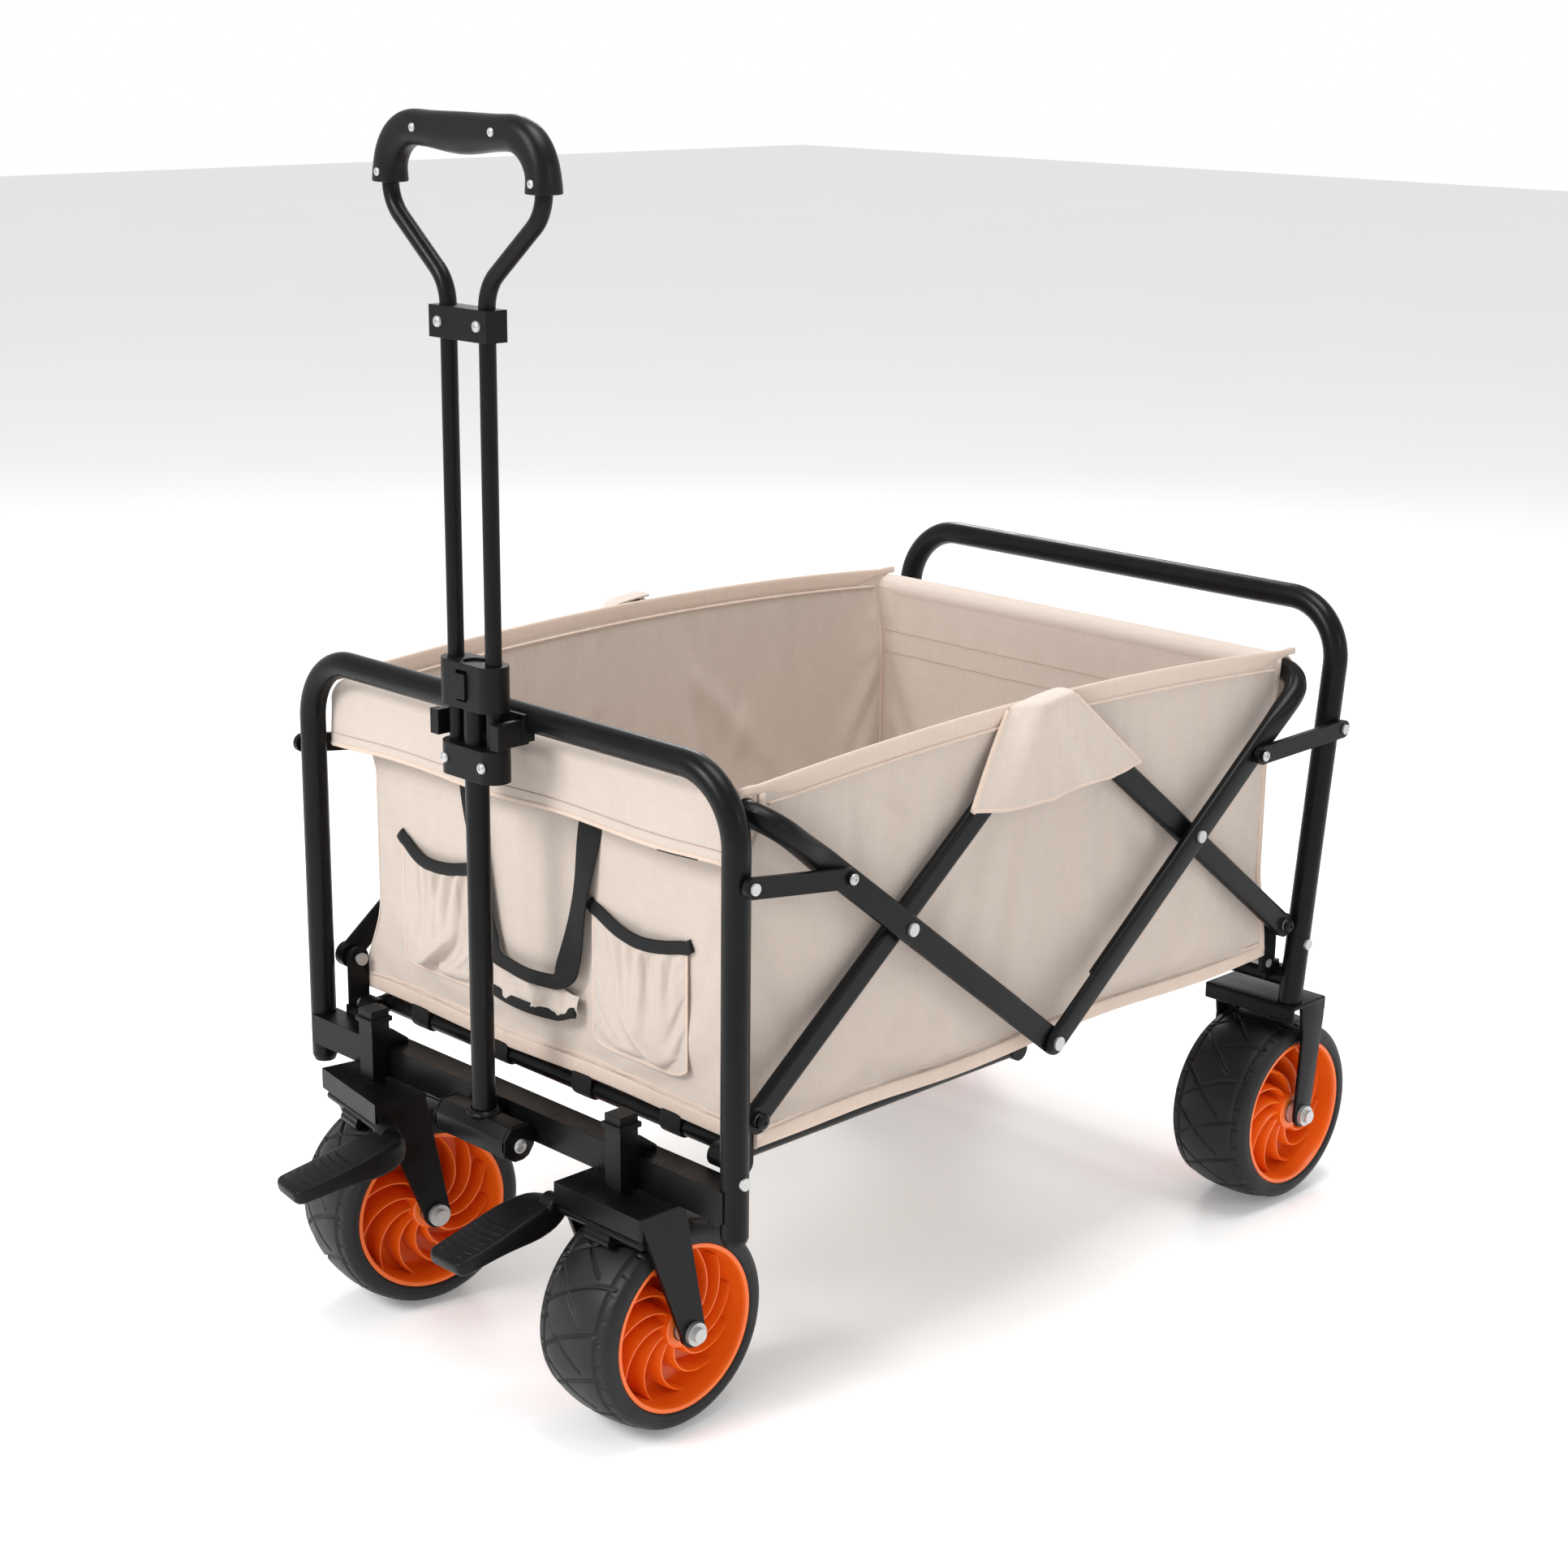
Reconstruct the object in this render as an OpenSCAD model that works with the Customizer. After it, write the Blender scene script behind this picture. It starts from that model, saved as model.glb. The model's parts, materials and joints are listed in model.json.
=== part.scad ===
/* [Frame] */
// Distance between the posts of an end hoop, centre to centre
post_spacing = 520; // [500:5:560]
// Height of the front hoop's top bar above the ground
front_bar_z = 548; // [530:2:580]
// Height of the rear hoop's top bar above the ground
rear_bar_z = 566; // [550:2:600]
// Backward lean of the rear hoop, in degrees
rear_lean = 6.9; // [0:0.1:8]
// Diameter of the hoop tube
hoop_d = 22; // [20:1:22]
// Centreline radius of the hoop's corner bends
hoop_bend = 55; // [45:1:70]

/* [Scissor sides] */
// Distance between the lower scissor pivots of the two end frames
span = 668; // [640:2:690]
// Angle of the scissor bars above the horizontal when open, in degrees
open_angle = 37.9; // [36:0.1:40]
// How far the scissor bars turn from open to folded, in degrees
fold_travel = 42; // [30:1:42]
// Height of the crossing rivets above the ground
cross_z = 395; // [390:1:400]
// Distance along Y from a lower pivot to its crossing rivet
cross_y = 152; // [146:1:158]
// Width of a flat-sided scissor bar
bar_w = 22; // [20:1:22]
// Thickness of a flat-sided scissor bar
bar_t = 10; // [9:1:10]

/* [Wheels] */
// Radius of the tyres
wheel_r = 88; // [84:1:88]
// Width of the tyres
tyre_w = 84; // [70:2:84]
// Radius where the rim meets the tyre
rim_r = 70; // [64:1:72]
// Distance from the centre plane to a front caster's stem
caster_x = 157; // [150:1:165]
// Distance from the centre plane to a rear wheel
rear_wheel_x = 225; // [222:1:228]
// Distance that a caster's axle trails behind its stem
trail = 30; // [20:1:32]
// Swivel of the left caster at rest, in degrees
left_caster_turn = -10; // [-15:1:0]

/* [Pull handle] */
// Height of the grip's centreline when the handle is pulled out
grip_z = 990; // [980:1:1000]
// Half the width of the handle loop
loop_half_w = 90; // [85:1:95]
// Distance from the centre plane to each loop tube below the neck
loop_x = 23; // [22:1:24]
// How far the loop telescopes down
slide_travel = 240; // [200:5:240]

/* [Fabric tub] */
// Height of the tub's lower edge
tub_z = 246; // [246:1:248]
// Half the width of the tub over its side walls
tub_half_w = 246; // [244:1:246]
// Thickness of the fabric walls
cloth_t = 2.2; // [1.5:0.1:2.4]
// Thickness of the padded floor boards
floor_t = 10; // [6:1:12]

/* [Hidden] */
$fn = 48;

// Length over which two bars that share a joint are halved, so that they fold past each other
lap = 68;

// Clearance of a running fit and the gap between faces that slide past each other
run = 0.08;
gap = 0.4;

// Places along Y: the front posts, the lower pivots and the middle of the scissor
post_y = -326.5;
pivot_off = 25;
pivot_y = post_y + pivot_off;
rear_pivot_y = pivot_y + span;
mid_y = pivot_y + span / 2;
post_x = post_spacing / 2;
hoop_r = hoop_d / 2;

// Scissor lengths: pivot to crossing, and crossing to the middle joints
lower_len = cross_y / cos(open_angle);
upper_len = (span / 2 - cross_y) / cos(open_angle);
bar_len = lower_len + upper_len;
pivot_z = cross_z - lower_len * sin(open_angle);
top_z = cross_z + lower_len * sin(open_angle);
peak_z = cross_z + upper_len * sin(open_angle);
foot_z = cross_z - upper_len * sin(open_angle);

// Layers across X on one side, from the tub outwards
inner_x0 = post_x - 10;
outer_x0 = inner_x0 + bar_t + 2;
link_x0 = outer_x0 + bar_t + 2;
link_t = 5;
link_w = 16;
cross_tube_r = 10;
u_bend = 30;

// Rear hoop and crossbars
rear_post_y = rear_pivot_y + 14.5;
post_foot_z = 190;
crown_top_z = 200;
crossbar_z = 216;
crossbar_h = 26;
crossbar_d = 25;
rear_crossbar_z = 222;
rear_crossbar_r = 10;
function rear_post_at(z) = rear_post_y + tan(rear_lean) * (z - crown_top_z);

// Brackets and bolts
bracket_x0 = 240;
bracket_t = 4;
base_z = 236;
bolt_r = 4;
eye_r = 10;

// Links: the post end is placed so that the link has the same length open and folded
link_from_cross = 96.3;
function link_y(a) = (lower_len - link_from_cross) * cos(a);
function link_z(a) = pivot_z + (lower_len + link_from_cross) * sin(a);
function link_post_z(off) =
    let (y0 = off + link_y(open_angle), z0 = link_z(open_angle),
         y1 = off + link_y(open_angle + fold_travel), z1 = link_z(open_angle + fold_travel))
    (y1 * y1 + z1 * z1 - y0 * y0 - z0 * z0) / (2 * (z1 - z0));
rear_link_off = 45.6;
rivet_r = 3;

// Base frame
base_r = 8;
front_rail_x = 222;
rear_rail_x = 202;
base_end_off = 18;

// Casters and forks
fork_half = 50;
fork_t = 4;
axle_r = 6;
hub_bore_r = axle_r + run;
stem_r = 5;
bush_r = 7.5;
stem_top_z = 250;
socket_w = 18;
socket_z0 = 204;
socket_z1 = 254;
stem_y = post_y - crossbar_d / 2 - socket_w / 2;
rear_axle_y = rear_post_y + 11;
leg_bottom_r = 12;
brake_y = -20;
brake_z = 176;

// Handle
handle_y = post_y - 30;
handle_pivot_z = 205;
handle_tube_r = 9.5;
loop_r = 6.5;
guide_z0 = 557;
guide_h = 36;
collar_z0 = 501;
collar_h = 26;
neck_z0 = 838;
neck_h = 24;
s_bend = 34;
s_angle = 50;
grip_bend = 35;
grip_r = 13;
foot_half = 45;

// ---- shared shapes ----

// Copies its children to the right side and, mirrored, to the left
module both_sides() {
    children();
    mirror([1, 0, 0]) children();
}

// A cylinder along X from x0 to x1 at (y, z)
module x_rod(x0, x1, y, z, r) {
    translate([x0, y, z]) rotate([0, 90, 0]) cylinder(h = x1 - x0, r = r);
}

// A bar along +Z with flat sides facing X and rounded edges
module flat_bar(x0, t, w, z0, z1) {
    translate([x0, -w / 2 + t / 2, z0]) cube([t, w - t, z1 - z0]);
    for (s = [-1, 1])
        translate([x0 + t / 2, s * (w - t) / 2, z0]) cylinder(h = z1 - z0, r = t / 2);
}

// A quarter turn of round tube that starts at the origin along +Z and ends along -X
module tube_corner(bend, r, r_in = 0) {
    translate([-bend, 0, 0]) rotate([90, 0, 0]) rotate_extrude(angle = 90) translate([bend, 0])
        difference() {
            circle(r = r);
            if (r_in > 0) circle(r = r_in);
        }
}

// An end hoop: two posts, two corner bends and a top bar, standing on z = 0
module hoop(height) {
    both_sides() {
        translate([post_x, 0, 0]) cylinder(h = height - hoop_bend, r = hoop_r);
        translate([post_x, 0, height - hoop_bend]) tube_corner(hoop_bend, hoop_r);
    }
    x_rod(-post_x + hoop_bend, post_x - hoop_bend, 0, height, hoop_r);
}

// Places its children with +Z along a bar that starts at (y, z) and rises by angle a
module along_bar(y, z, a, to_rear) {
    translate([0, y, z]) rotate([to_rear ? -(90 - a) : 90 - a, 0, 0]) children();
}

// ---- front frame ----

// Seats in both posts for the link rivet and the crossbar bolt
module post_seats(y_link, z_link, y_bolt, z_bolt) {
    both_sides() {
        x_rod(post_x + hoop_r - 1, post_x + hoop_r + 5, y_link, z_link, rivet_r);
        x_rod(post_x + hoop_r - 1, post_x + hoop_r + 5, y_bolt, z_bolt, 5);
    }
}

module front_hoop() {
    color("#1b1c1f") difference() {
        translate([0, post_y, post_foot_z]) hoop(front_bar_z - post_foot_z);
        post_seats(post_y, link_post_z(pivot_off), post_y, crossbar_z + 20);
    }
}

module front_crossbar() {
    color("#1b1c1f") difference() {
        translate([-post_x, post_y - crossbar_d / 2, crossbar_z - crossbar_h / 2])
            cube([2 * post_x, crossbar_d, crossbar_h]);
        both_sides() translate([post_x, post_y, 0]) cylinder(h = crossbar_z + crossbar_h, r = hoop_r);
        both_sides() translate([post_x, post_y - crossbar_d, 0])
            cube([post_x, 2 * crossbar_d, crossbar_z + crossbar_h]);
    }
}

// Plastic glides that plug the lower ends of the front posts
module front_feet() {
    color("#0f0f10") both_sides() translate([post_x, post_y, post_foot_z - 5]) {
        cylinder(h = 5, r1 = hoop_r - 2, r2 = hoop_r);
    }
}

module caster_sockets() {
    color("#1b1c1f") both_sides() {
        difference() {
            translate([caster_x - socket_w / 2, stem_y - socket_w / 2, socket_z0])
                cube([socket_w, socket_w, socket_z1 - socket_z0]);
            translate([caster_x, stem_y, 0]) cylinder(h = 300, r = bush_r);
        }
        // gusset from the back of the socket down to the crossbar's top
        translate([caster_x - 8, stem_y + socket_w / 2, crossbar_z + crossbar_h / 2]) rotate([90, 0, 90])
            linear_extrude(16) polygon([[0, 0], [20, 0], [20, 4], [4, 16], [0, 16]]);
    }
}

module socket_caps() {
    color("#0f0f10") both_sides() translate([caster_x, stem_y, socket_z1]) {
        translate([-socket_w / 2 - 2, -socket_w / 2 - 2, 0]) cube([socket_w + 4, socket_w + 4, 4]);
        translate([-socket_w / 2, -socket_w / 2, 4]) cube([socket_w, socket_w, 7]);
    }
}

module caster_bushes() {
    color("#d8d8d2") both_sides() for (z = [socket_z0, socket_z1 - 14])
        translate([caster_x, stem_y, z]) difference() {
            cylinder(h = 12, r = bush_r);
            translate([0, 0, -1]) cylinder(h = 14, r = stem_r + run);
        }
}

// A pivot bracket: a plate with an eye for the scissor bar and one for the base frame
module bracket(y_plate, y_eye, z_low) {
    difference() {
        union() {
            translate([bracket_x0, min(y_plate, y_eye - 4), z_low])
                cube([bracket_t, max(y_plate, y_eye + 4) - min(y_plate, y_eye - 4), base_z - z_low]);
            translate([bracket_x0, y_eye - eye_r, base_z]) cube([bracket_t, 2 * eye_r, pivot_z - base_z]);
            for (z = [base_z, pivot_z]) x_rod(bracket_x0, bracket_x0 + bracket_t, y_eye, z, eye_r);
        }
        for (z = [base_z, pivot_z]) x_rod(bracket_x0 - 1, bracket_x0 + bracket_t + 1, y_eye, z, bolt_r);
    }
}

module front_brackets() {
    color("#1b1c1f") both_sides() bracket(post_y + crossbar_d / 2, pivot_y, crossbar_z - 4);
}

// Shouldered bolts of an end frame: scissor pivot, base pivot and link rivet
module frame_bolts(y_eye, rail_x, y_link, z_link) {
    both_sides() {
        x_rod(bracket_x0 - 3, inner_x0 + bar_t + 1, y_eye, pivot_z, bolt_r);
        x_rod(bracket_x0 - 6, bracket_x0 - 3, y_eye, pivot_z, bolt_r + 1.4);
        x_rod(inner_x0 + bar_t + 0.3, inner_x0 + bar_t + 2.5, y_eye, pivot_z, bolt_r + 1.4);
        x_rod(rail_x - base_r - 3, bracket_x0 + bracket_t + 1, y_eye, base_z, bolt_r);
        x_rod(rail_x - base_r - 4, rail_x - base_r - 1.4, y_eye, base_z, bolt_r + 1.4);
        x_rod(post_x + hoop_r - 1, link_x0 + link_t + 0.5, y_link, z_link, rivet_r);
        x_rod(link_x0 + link_t + 0.3, link_x0 + link_t + 2.2, y_link, z_link, rivet_r + 1.6);
    }
}

module front_frame_bolts() {
    color("silver") {
        frame_bolts(pivot_y, front_rail_x, post_y, link_post_z(pivot_off));
        both_sides() x_rod(post_x + hoop_r - 1, post_x + hoop_r + 1.6, post_y, crossbar_z + 20, 5);
    }
}

module handle_barrel() {
    color("#1b1c1f") difference() {
        union() {
            x_rod(-foot_half + 5, foot_half - 5, handle_y, handle_pivot_z, 9);
            translate([-foot_half + 6, handle_y, handle_pivot_z - 6])
                cube([2 * foot_half - 12, post_y - crossbar_d / 2 - handle_y, 12]);
        }
        x_rod(-foot_half, foot_half, handle_y, handle_pivot_z, bolt_r + run);
    }
}

// The snap clip on the top bar that holds the handle upright
module handle_clip() {
    color("#141416") {
        difference() {
            union() {
                translate([-38, post_y - 14, front_bar_z - 16]) cube([76, 26, 22]);
                both_sides() {
                    translate([32, post_y - 42, front_bar_z - 18]) cube([5, 34, 20]);
                    translate([37, post_y - 42, front_bar_z - 18]) cube([5, 8, 20]);
                }
            }
            x_rod(-50, 50, post_y, front_bar_z, hoop_r);
            translate([-50, post_y - 3, front_bar_z - 30]) cube([100, 30, 30]);
        }
    }
}

// ---- rear frame ----

module rear_hoop() {
    color("#1b1c1f") difference() {
        translate([0, rear_post_y, crown_top_z]) rotate([-rear_lean, 0, 0]) translate([0, 0, -6])
            hoop((rear_bar_z - crown_top_z) / cos(rear_lean) + 6);
        translate([-500, rear_post_y - 200, crown_top_z - 100]) cube([1000, 400, 100]);
        post_seats(rear_post_at(link_post_z(rear_link_off)), link_post_z(rear_link_off),
            rear_post_at(crossbar_z + 40), crossbar_z + 40);
    }
}

module rear_crossbar() {
    color("#1b1c1f") difference() {
        x_rod(-post_x, post_x, rear_post_at(rear_crossbar_z), rear_crossbar_z, rear_crossbar_r);
        translate([0, rear_post_y, crown_top_z]) rotate([-rear_lean, 0, 0]) both_sides()
            translate([post_x, 0, -20]) cylinder(h = 100, r = hoop_r);
        both_sides() translate([post_x + 5, rear_post_y - 50, 0]) cube([100, 100, 400]);
    }
}

// One fork leg: a tapered plate from the crown to the axle, both given along Y
module fork_leg(x0, top_y0, top_y1, axle_y) {
    translate([x0, 0, 0]) rotate([90, 0, 90]) linear_extrude(fork_t)
        polygon([[top_y0, crown_top_z - 3], [top_y1, crown_top_z - 3],
                 [axle_y + leg_bottom_r - 0.5, wheel_r + 2], [axle_y - leg_bottom_r + 0.5, wheel_r - 2]]);
    x_rod(x0, x0 + fork_t, axle_y, wheel_r, leg_bottom_r);
}

// A fork without its stem: crown channel and two legs, centred on x = 0
module fork(y0, y1, axle_y) {
    difference() {
        union() {
            translate([-fork_half, y0, crown_top_z - 4]) cube([2 * fork_half, y1 - y0, 4]);
            translate([-fork_half, y0, crown_top_z - 18]) cube([2 * fork_half, 3, 18]);
            for (x0 = [-fork_half, fork_half - fork_t]) fork_leg(x0, y0 + 1, y1 - 1, axle_y);
        }
        x_rod(-fork_half - 1, fork_half + 1, axle_y, wheel_r, axle_r);
    }
}

module rear_forks() {
    color("#1b1c1f") both_sides() translate([rear_wheel_x, 0, 0])
        fork(rear_post_y - 15, rear_post_y + 36, rear_axle_y);
}

// An axle bolt with head, nut and the two spacers that centre the hub
module axle(y) {
    x_rod(-fork_half - 5, fork_half + 8, y, wheel_r, axle_r);
    x_rod(fork_half, fork_half + 4, y, wheel_r, 9.5);
    x_rod(-fork_half - 4, -fork_half, y, wheel_r, 9.5);
    for (x0 = [-fork_half + fork_t, tyre_w / 2 - 4])
        translate([x0, y, wheel_r]) rotate([0, 90, 0]) difference() {
            cylinder(h = fork_half - fork_t - tyre_w / 2 + 4 - gap, r = 10);
            translate([0, 0, -1]) cylinder(h = 40, r = axle_r);
        }
}

module rear_axles() {
    color("silver") both_sides() translate([rear_wheel_x, 0, 0]) axle(rear_axle_y);
}

module rear_brackets() {
    color("#1b1c1f") difference() {
        both_sides() bracket(rear_post_at(rear_crossbar_z), rear_pivot_y, rear_crossbar_z);
        x_rod(-post_x, post_x, rear_post_at(rear_crossbar_z), rear_crossbar_z, rear_crossbar_r);
    }
}

module rear_frame_bolts() {
    color("silver") {
        z_link = link_post_z(rear_link_off);
        frame_bolts(rear_pivot_y, rear_rail_x, rear_post_at(z_link), z_link);
        both_sides() x_rod(post_x + hoop_r - 1, post_x + hoop_r + 1.6,
            rear_post_at(crossbar_z + 40), crossbar_z + 40, 5);
    }
}

// ---- wheels ----

// Tyre on the X axis: flat tread with rounded shoulders
module tyre() {
    shoulder = 16;
    color("#1a1a1b") rotate([0, 90, 0]) difference() {
        union() {
            translate([0, 0, -tyre_w / 2 + shoulder]) cylinder(h = tyre_w - 2 * shoulder, r = wheel_r);
            for (s = [-1, 1]) translate([0, 0, s * (tyre_w / 2 - shoulder)])
                rotate_extrude() translate([wheel_r - shoulder, 0]) circle(r = shoulder);
            translate([0, 0, -tyre_w / 2]) cylinder(h = tyre_w, r = wheel_r - shoulder);
        }
        translate([0, 0, -tyre_w]) cylinder(h = 2 * tyre_w, r = rim_r);
    }
}

// Rim on the X axis: barrel, middle web, hub and curved vanes
module rim() {
    vanes = 12;
    barrel_t = 6;
    half = tyre_w / 2 - 2;
    hub_half = tyre_w / 2 - 5;
    vane_r = 34;
    color("#f36a10") rotate([0, 90, 0]) {
        difference() {
            translate([0, 0, -half]) cylinder(h = 2 * half, r = rim_r);
            for (s = [0, 1]) mirror([0, 0, s]) translate([0, 0, 8]) cylinder(h = half, r = rim_r - barrel_t);
            translate([0, 0, -half]) cylinder(h = 2 * half, r = hub_bore_r);
        }
        difference() {
            translate([0, 0, -hub_half]) cylinder(h = 2 * hub_half, r = 17);
            translate([0, 0, -half]) cylinder(h = 2 * half, r = hub_bore_r);
        }
        for (s = [0, 1]) mirror([0, 0, s]) for (i = [0:vanes - 1]) rotate([0, 0, i * 360 / vanes])
            translate([12 + vane_r, 4, 7]) rotate([0, 0, 100]) rotate_extrude(angle = 76)
                translate([vane_r - 1.2, 0]) square([2.4, 16]);
    }
}

module wheel_at(x, y) {
    translate([x, y, wheel_r]) children();
}

module rear_tyre_right() { wheel_at(rear_wheel_x, rear_axle_y) tyre(); }
module rear_rim_right() { wheel_at(rear_wheel_x, rear_axle_y) rim(); }
module rear_tyre_left() { wheel_at(-rear_wheel_x, rear_axle_y) tyre(); }
module rear_rim_left() { wheel_at(-rear_wheel_x, rear_axle_y) rim(); }

// ---- front casters ----

// Places a caster's children: the origin becomes the stem's axis at ground height
module caster(side) {
    translate([side * caster_x, stem_y, 0]) rotate([0, 0, side < 0 ? left_caster_turn : 0]) children();
}

module caster_fork() {
    color("#1b1c1f") {
        fork(-26, 22, trail);
        translate([0, 0, crown_top_z]) cylinder(h = socket_z0 - crown_top_z - gap / 2, r = 8.5);
        translate([0, 0, crown_top_z - 4]) cylinder(h = stem_top_z - crown_top_z + 4, r = stem_r);
    }
}

// Brake shaft across the fork, with the cam that presses the tyre
module brake_shaft(side) {
    color("silver") {
        x_rod(-fork_half + fork_t + gap, fork_half - fork_t - gap, brake_y, brake_z, 4);
        x_rod(-14, 14, brake_y - 2.5, brake_z - 8, 4.5);
        x_rod(-14, 14, brake_y - 1.2, brake_z - 4, 4.5);
        translate([side < 0 ? 0 : -fork_half - 6, 0, 0])
            x_rod(side < 0 ? fork_half - fork_t - 2 : 0, side < 0 ? fork_half + 6 : fork_t + 6 + 2,
                brake_y, brake_z, 3);
    }
}

// Foot pedal on the inner side of the caster: hub, arm and ribbed tread
module brake_lever(side) {
    x_in = fork_half + gap;
    color("#161617") mirror([side < 0 ? 0 : 1, 0, 0]) difference() {
        union() {
            x_rod(x_in, x_in + 14, brake_y, brake_z, 9.5);
            translate([x_in, brake_y, brake_z]) rotate([12, 0, 0]) {
                translate([0, -38, -9]) cube([14, 38, 14]);
                translate([0, -100, -9]) cube([42, 66, 12]);
                translate([0, -50, -18]) cube([8, 40, 12]);
                for (i = [0:5]) translate([4, -95 + i * 9, 3]) cube([34, 4, 2]);
            }
        }
        x_rod(x_in - 1, x_in + 8, brake_y, brake_z, 3);
    }
}

module caster_fork_with_brake_hole(side) {
    difference() {
        caster_fork();
        x_rod(side < 0 ? fork_half - fork_t - 1 : -fork_half - 1,
            side < 0 ? fork_half + 1 : -fork_half + fork_t + 1, brake_y, brake_z, 3 + run);
    }
}

module caster_fork_right() { caster(1) caster_fork_with_brake_hole(1); }
module caster_axle_right() { color("silver") caster(1) axle(trail); }
module brake_lever_right() { caster(1) brake_lever(1); }
module brake_shaft_right() { caster(1) brake_shaft(1); }
module front_tyre_right() { caster(1) wheel_at(0, trail) tyre(); }
module front_rim_right() { caster(1) wheel_at(0, trail) rim(); }
module caster_fork_left() { caster(-1) caster_fork_with_brake_hole(-1); }
module caster_axle_left() { color("silver") caster(-1) axle(trail); }
module brake_lever_left() { caster(-1) brake_lever(-1); }
module brake_shaft_left() { caster(-1) brake_shaft(-1); }
module front_tyre_left() { caster(-1) wheel_at(0, trail) tyre(); }
module front_rim_left() { caster(-1) wheel_at(0, trail) rim(); }

// ---- scissor sides ----

// Inner bar on the right side, along +Z from its lower pivot to the top joint
module inner_bar(outboard_tongue) {
    tongue_x = outboard_tongue ? inner_x0 + bar_t / 2 + gap / 2 : inner_x0;
    tongue_t = bar_t / 2 - gap / 2;
    if (!outboard_tongue) color("silver") {
        x_rod(inner_x0 - 1, inner_x0 + bar_t + 1, 0, bar_len, bolt_r);
        x_rod(inner_x0 - 2, inner_x0, 0, bar_len, bolt_r + 2);
        x_rod(inner_x0 + bar_t + 0.2, inner_x0 + bar_t + 1.6, 0, bar_len, bolt_r + 2);
    }
    color("#1b1c1f") difference() {
        union() {
            flat_bar(inner_x0, bar_t, bar_w, 0, bar_len - 16);
            x_rod(inner_x0, inner_x0 + bar_t, 0, 0, bar_w / 2);
            translate([tongue_x, -bar_w / 2 + 2, bar_len - 20]) cube([tongue_t, bar_w - 4, 20]);
            x_rod(tongue_x, tongue_x + tongue_t, 0, bar_len, bar_w / 2 - 1);
        }
        x_rod(inner_x0 - 1, inner_x0 + bar_t + 1, 0, 0, bolt_r + run);
        x_rod(inner_x0 - 1, inner_x0 + bar_t + 1, 0, lower_len, bolt_r + run);
        x_rod(inner_x0 - 1, inner_x0 + bar_t + 1, 0, bar_len, bolt_r + (outboard_tongue ? run : 0));
        translate([inner_x0 - 1, -bar_w, bar_len - lap]) {
            if (outboard_tongue) cube([bar_t / 2 + 1 + gap / 2, 2 * bar_w, lap + 20]);
            else translate([bar_t / 2 + 1 - gap / 2, 0, 0]) cube([bar_t, 2 * bar_w, lap + 20]);
        }
    }
}

module inner_bar_front_right() { along_bar(pivot_y, pivot_z, open_angle, true) inner_bar(false); }
module inner_bar_rear_right() { along_bar(rear_pivot_y, pivot_z, open_angle, false) inner_bar(true); }
module inner_bar_front_left() { mirror([1, 0, 0]) inner_bar_front_right(); }
module inner_bar_rear_left() { mirror([1, 0, 0]) inner_bar_rear_right(); }

// Outer U frame: two legs joined by a cross tube that carries the tub's end wall.
// Along +Z from the bottom joint to the cross tube
module outer_frame(outboard_tongue) {
    tongue_t = bar_t / 2 - gap / 2;
    tongue_x = outboard_tongue ? outer_x0 + bar_t / 2 + gap / 2 : outer_x0;
    leg_x = outer_x0 + bar_t / 2;
    color("#1b1c1f") {
        both_sides() difference() {
            union() {
                flat_bar(outer_x0, bar_t, bar_w, 16, bar_len - u_bend - 14);
                translate([tongue_x, -bar_w / 2 + 2, 0]) cube([tongue_t, bar_w - 4, 20]);
                x_rod(tongue_x, tongue_x + tongue_t, 0, 0, bar_w / 2 - 1);
                translate([leg_x, 0, bar_len - u_bend - 26]) cylinder(h = 26, r = cross_tube_r);
                translate([leg_x, 0, bar_len - u_bend]) tube_corner(u_bend, cross_tube_r);
            }
            x_rod(outer_x0 - 1, outer_x0 + bar_t + 1, 0, 0, bolt_r + (outboard_tongue ? 0 : run));
            x_rod(outer_x0 - 1, outer_x0 + bar_t + 1, 0, upper_len, bolt_r);
            translate([outer_x0 - 1, -bar_w, -30]) {
                if (outboard_tongue) cube([bar_t / 2 + 1 + gap / 2, 2 * bar_w, lap + 30]);
                else translate([bar_t / 2 + 1 - gap / 2, 0, 0]) cube([bar_t, 2 * bar_w, lap + 30]);
            }
        }
        x_rod(-leg_x + u_bend, leg_x - u_bend, 0, bar_len, cross_tube_r);
    }
}

module outer_frame_front() { along_bar(mid_y, foot_z, open_angle, false) outer_frame(false); }
module outer_frame_rear() { along_bar(mid_y, foot_z, open_angle, true) outer_frame(true); }

// A riveted joint through a pair of bars: shank and two heads, on the right side
module bar_rivet(y, z, x0, x1, head = 5) {
    x_rod(x0, x1, y, z, bolt_r);
    x_rod(x0 - 2, x0 + 0.3, y, z, head);
    x_rod(x1 - 0.3, x1 + 2, y, z, head);
}

module scissor_rivets_front() {
    color("silver") both_sides()
        bar_rivet(pivot_y + cross_y, cross_z, inner_x0 - 0.6, outer_x0 + bar_t + 0.3, bolt_r + 1.4);
}

module scissor_rivets_rear() {
    color("silver") both_sides() {
        bar_rivet(rear_pivot_y - cross_y, cross_z, inner_x0 - 0.6, outer_x0 + bar_t + 0.3, bolt_r + 1.4);
        bar_rivet(mid_y, foot_z, outer_x0 - 0.6, outer_x0 + bar_t + 0.3, bolt_r + 2);
    }
}

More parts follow.
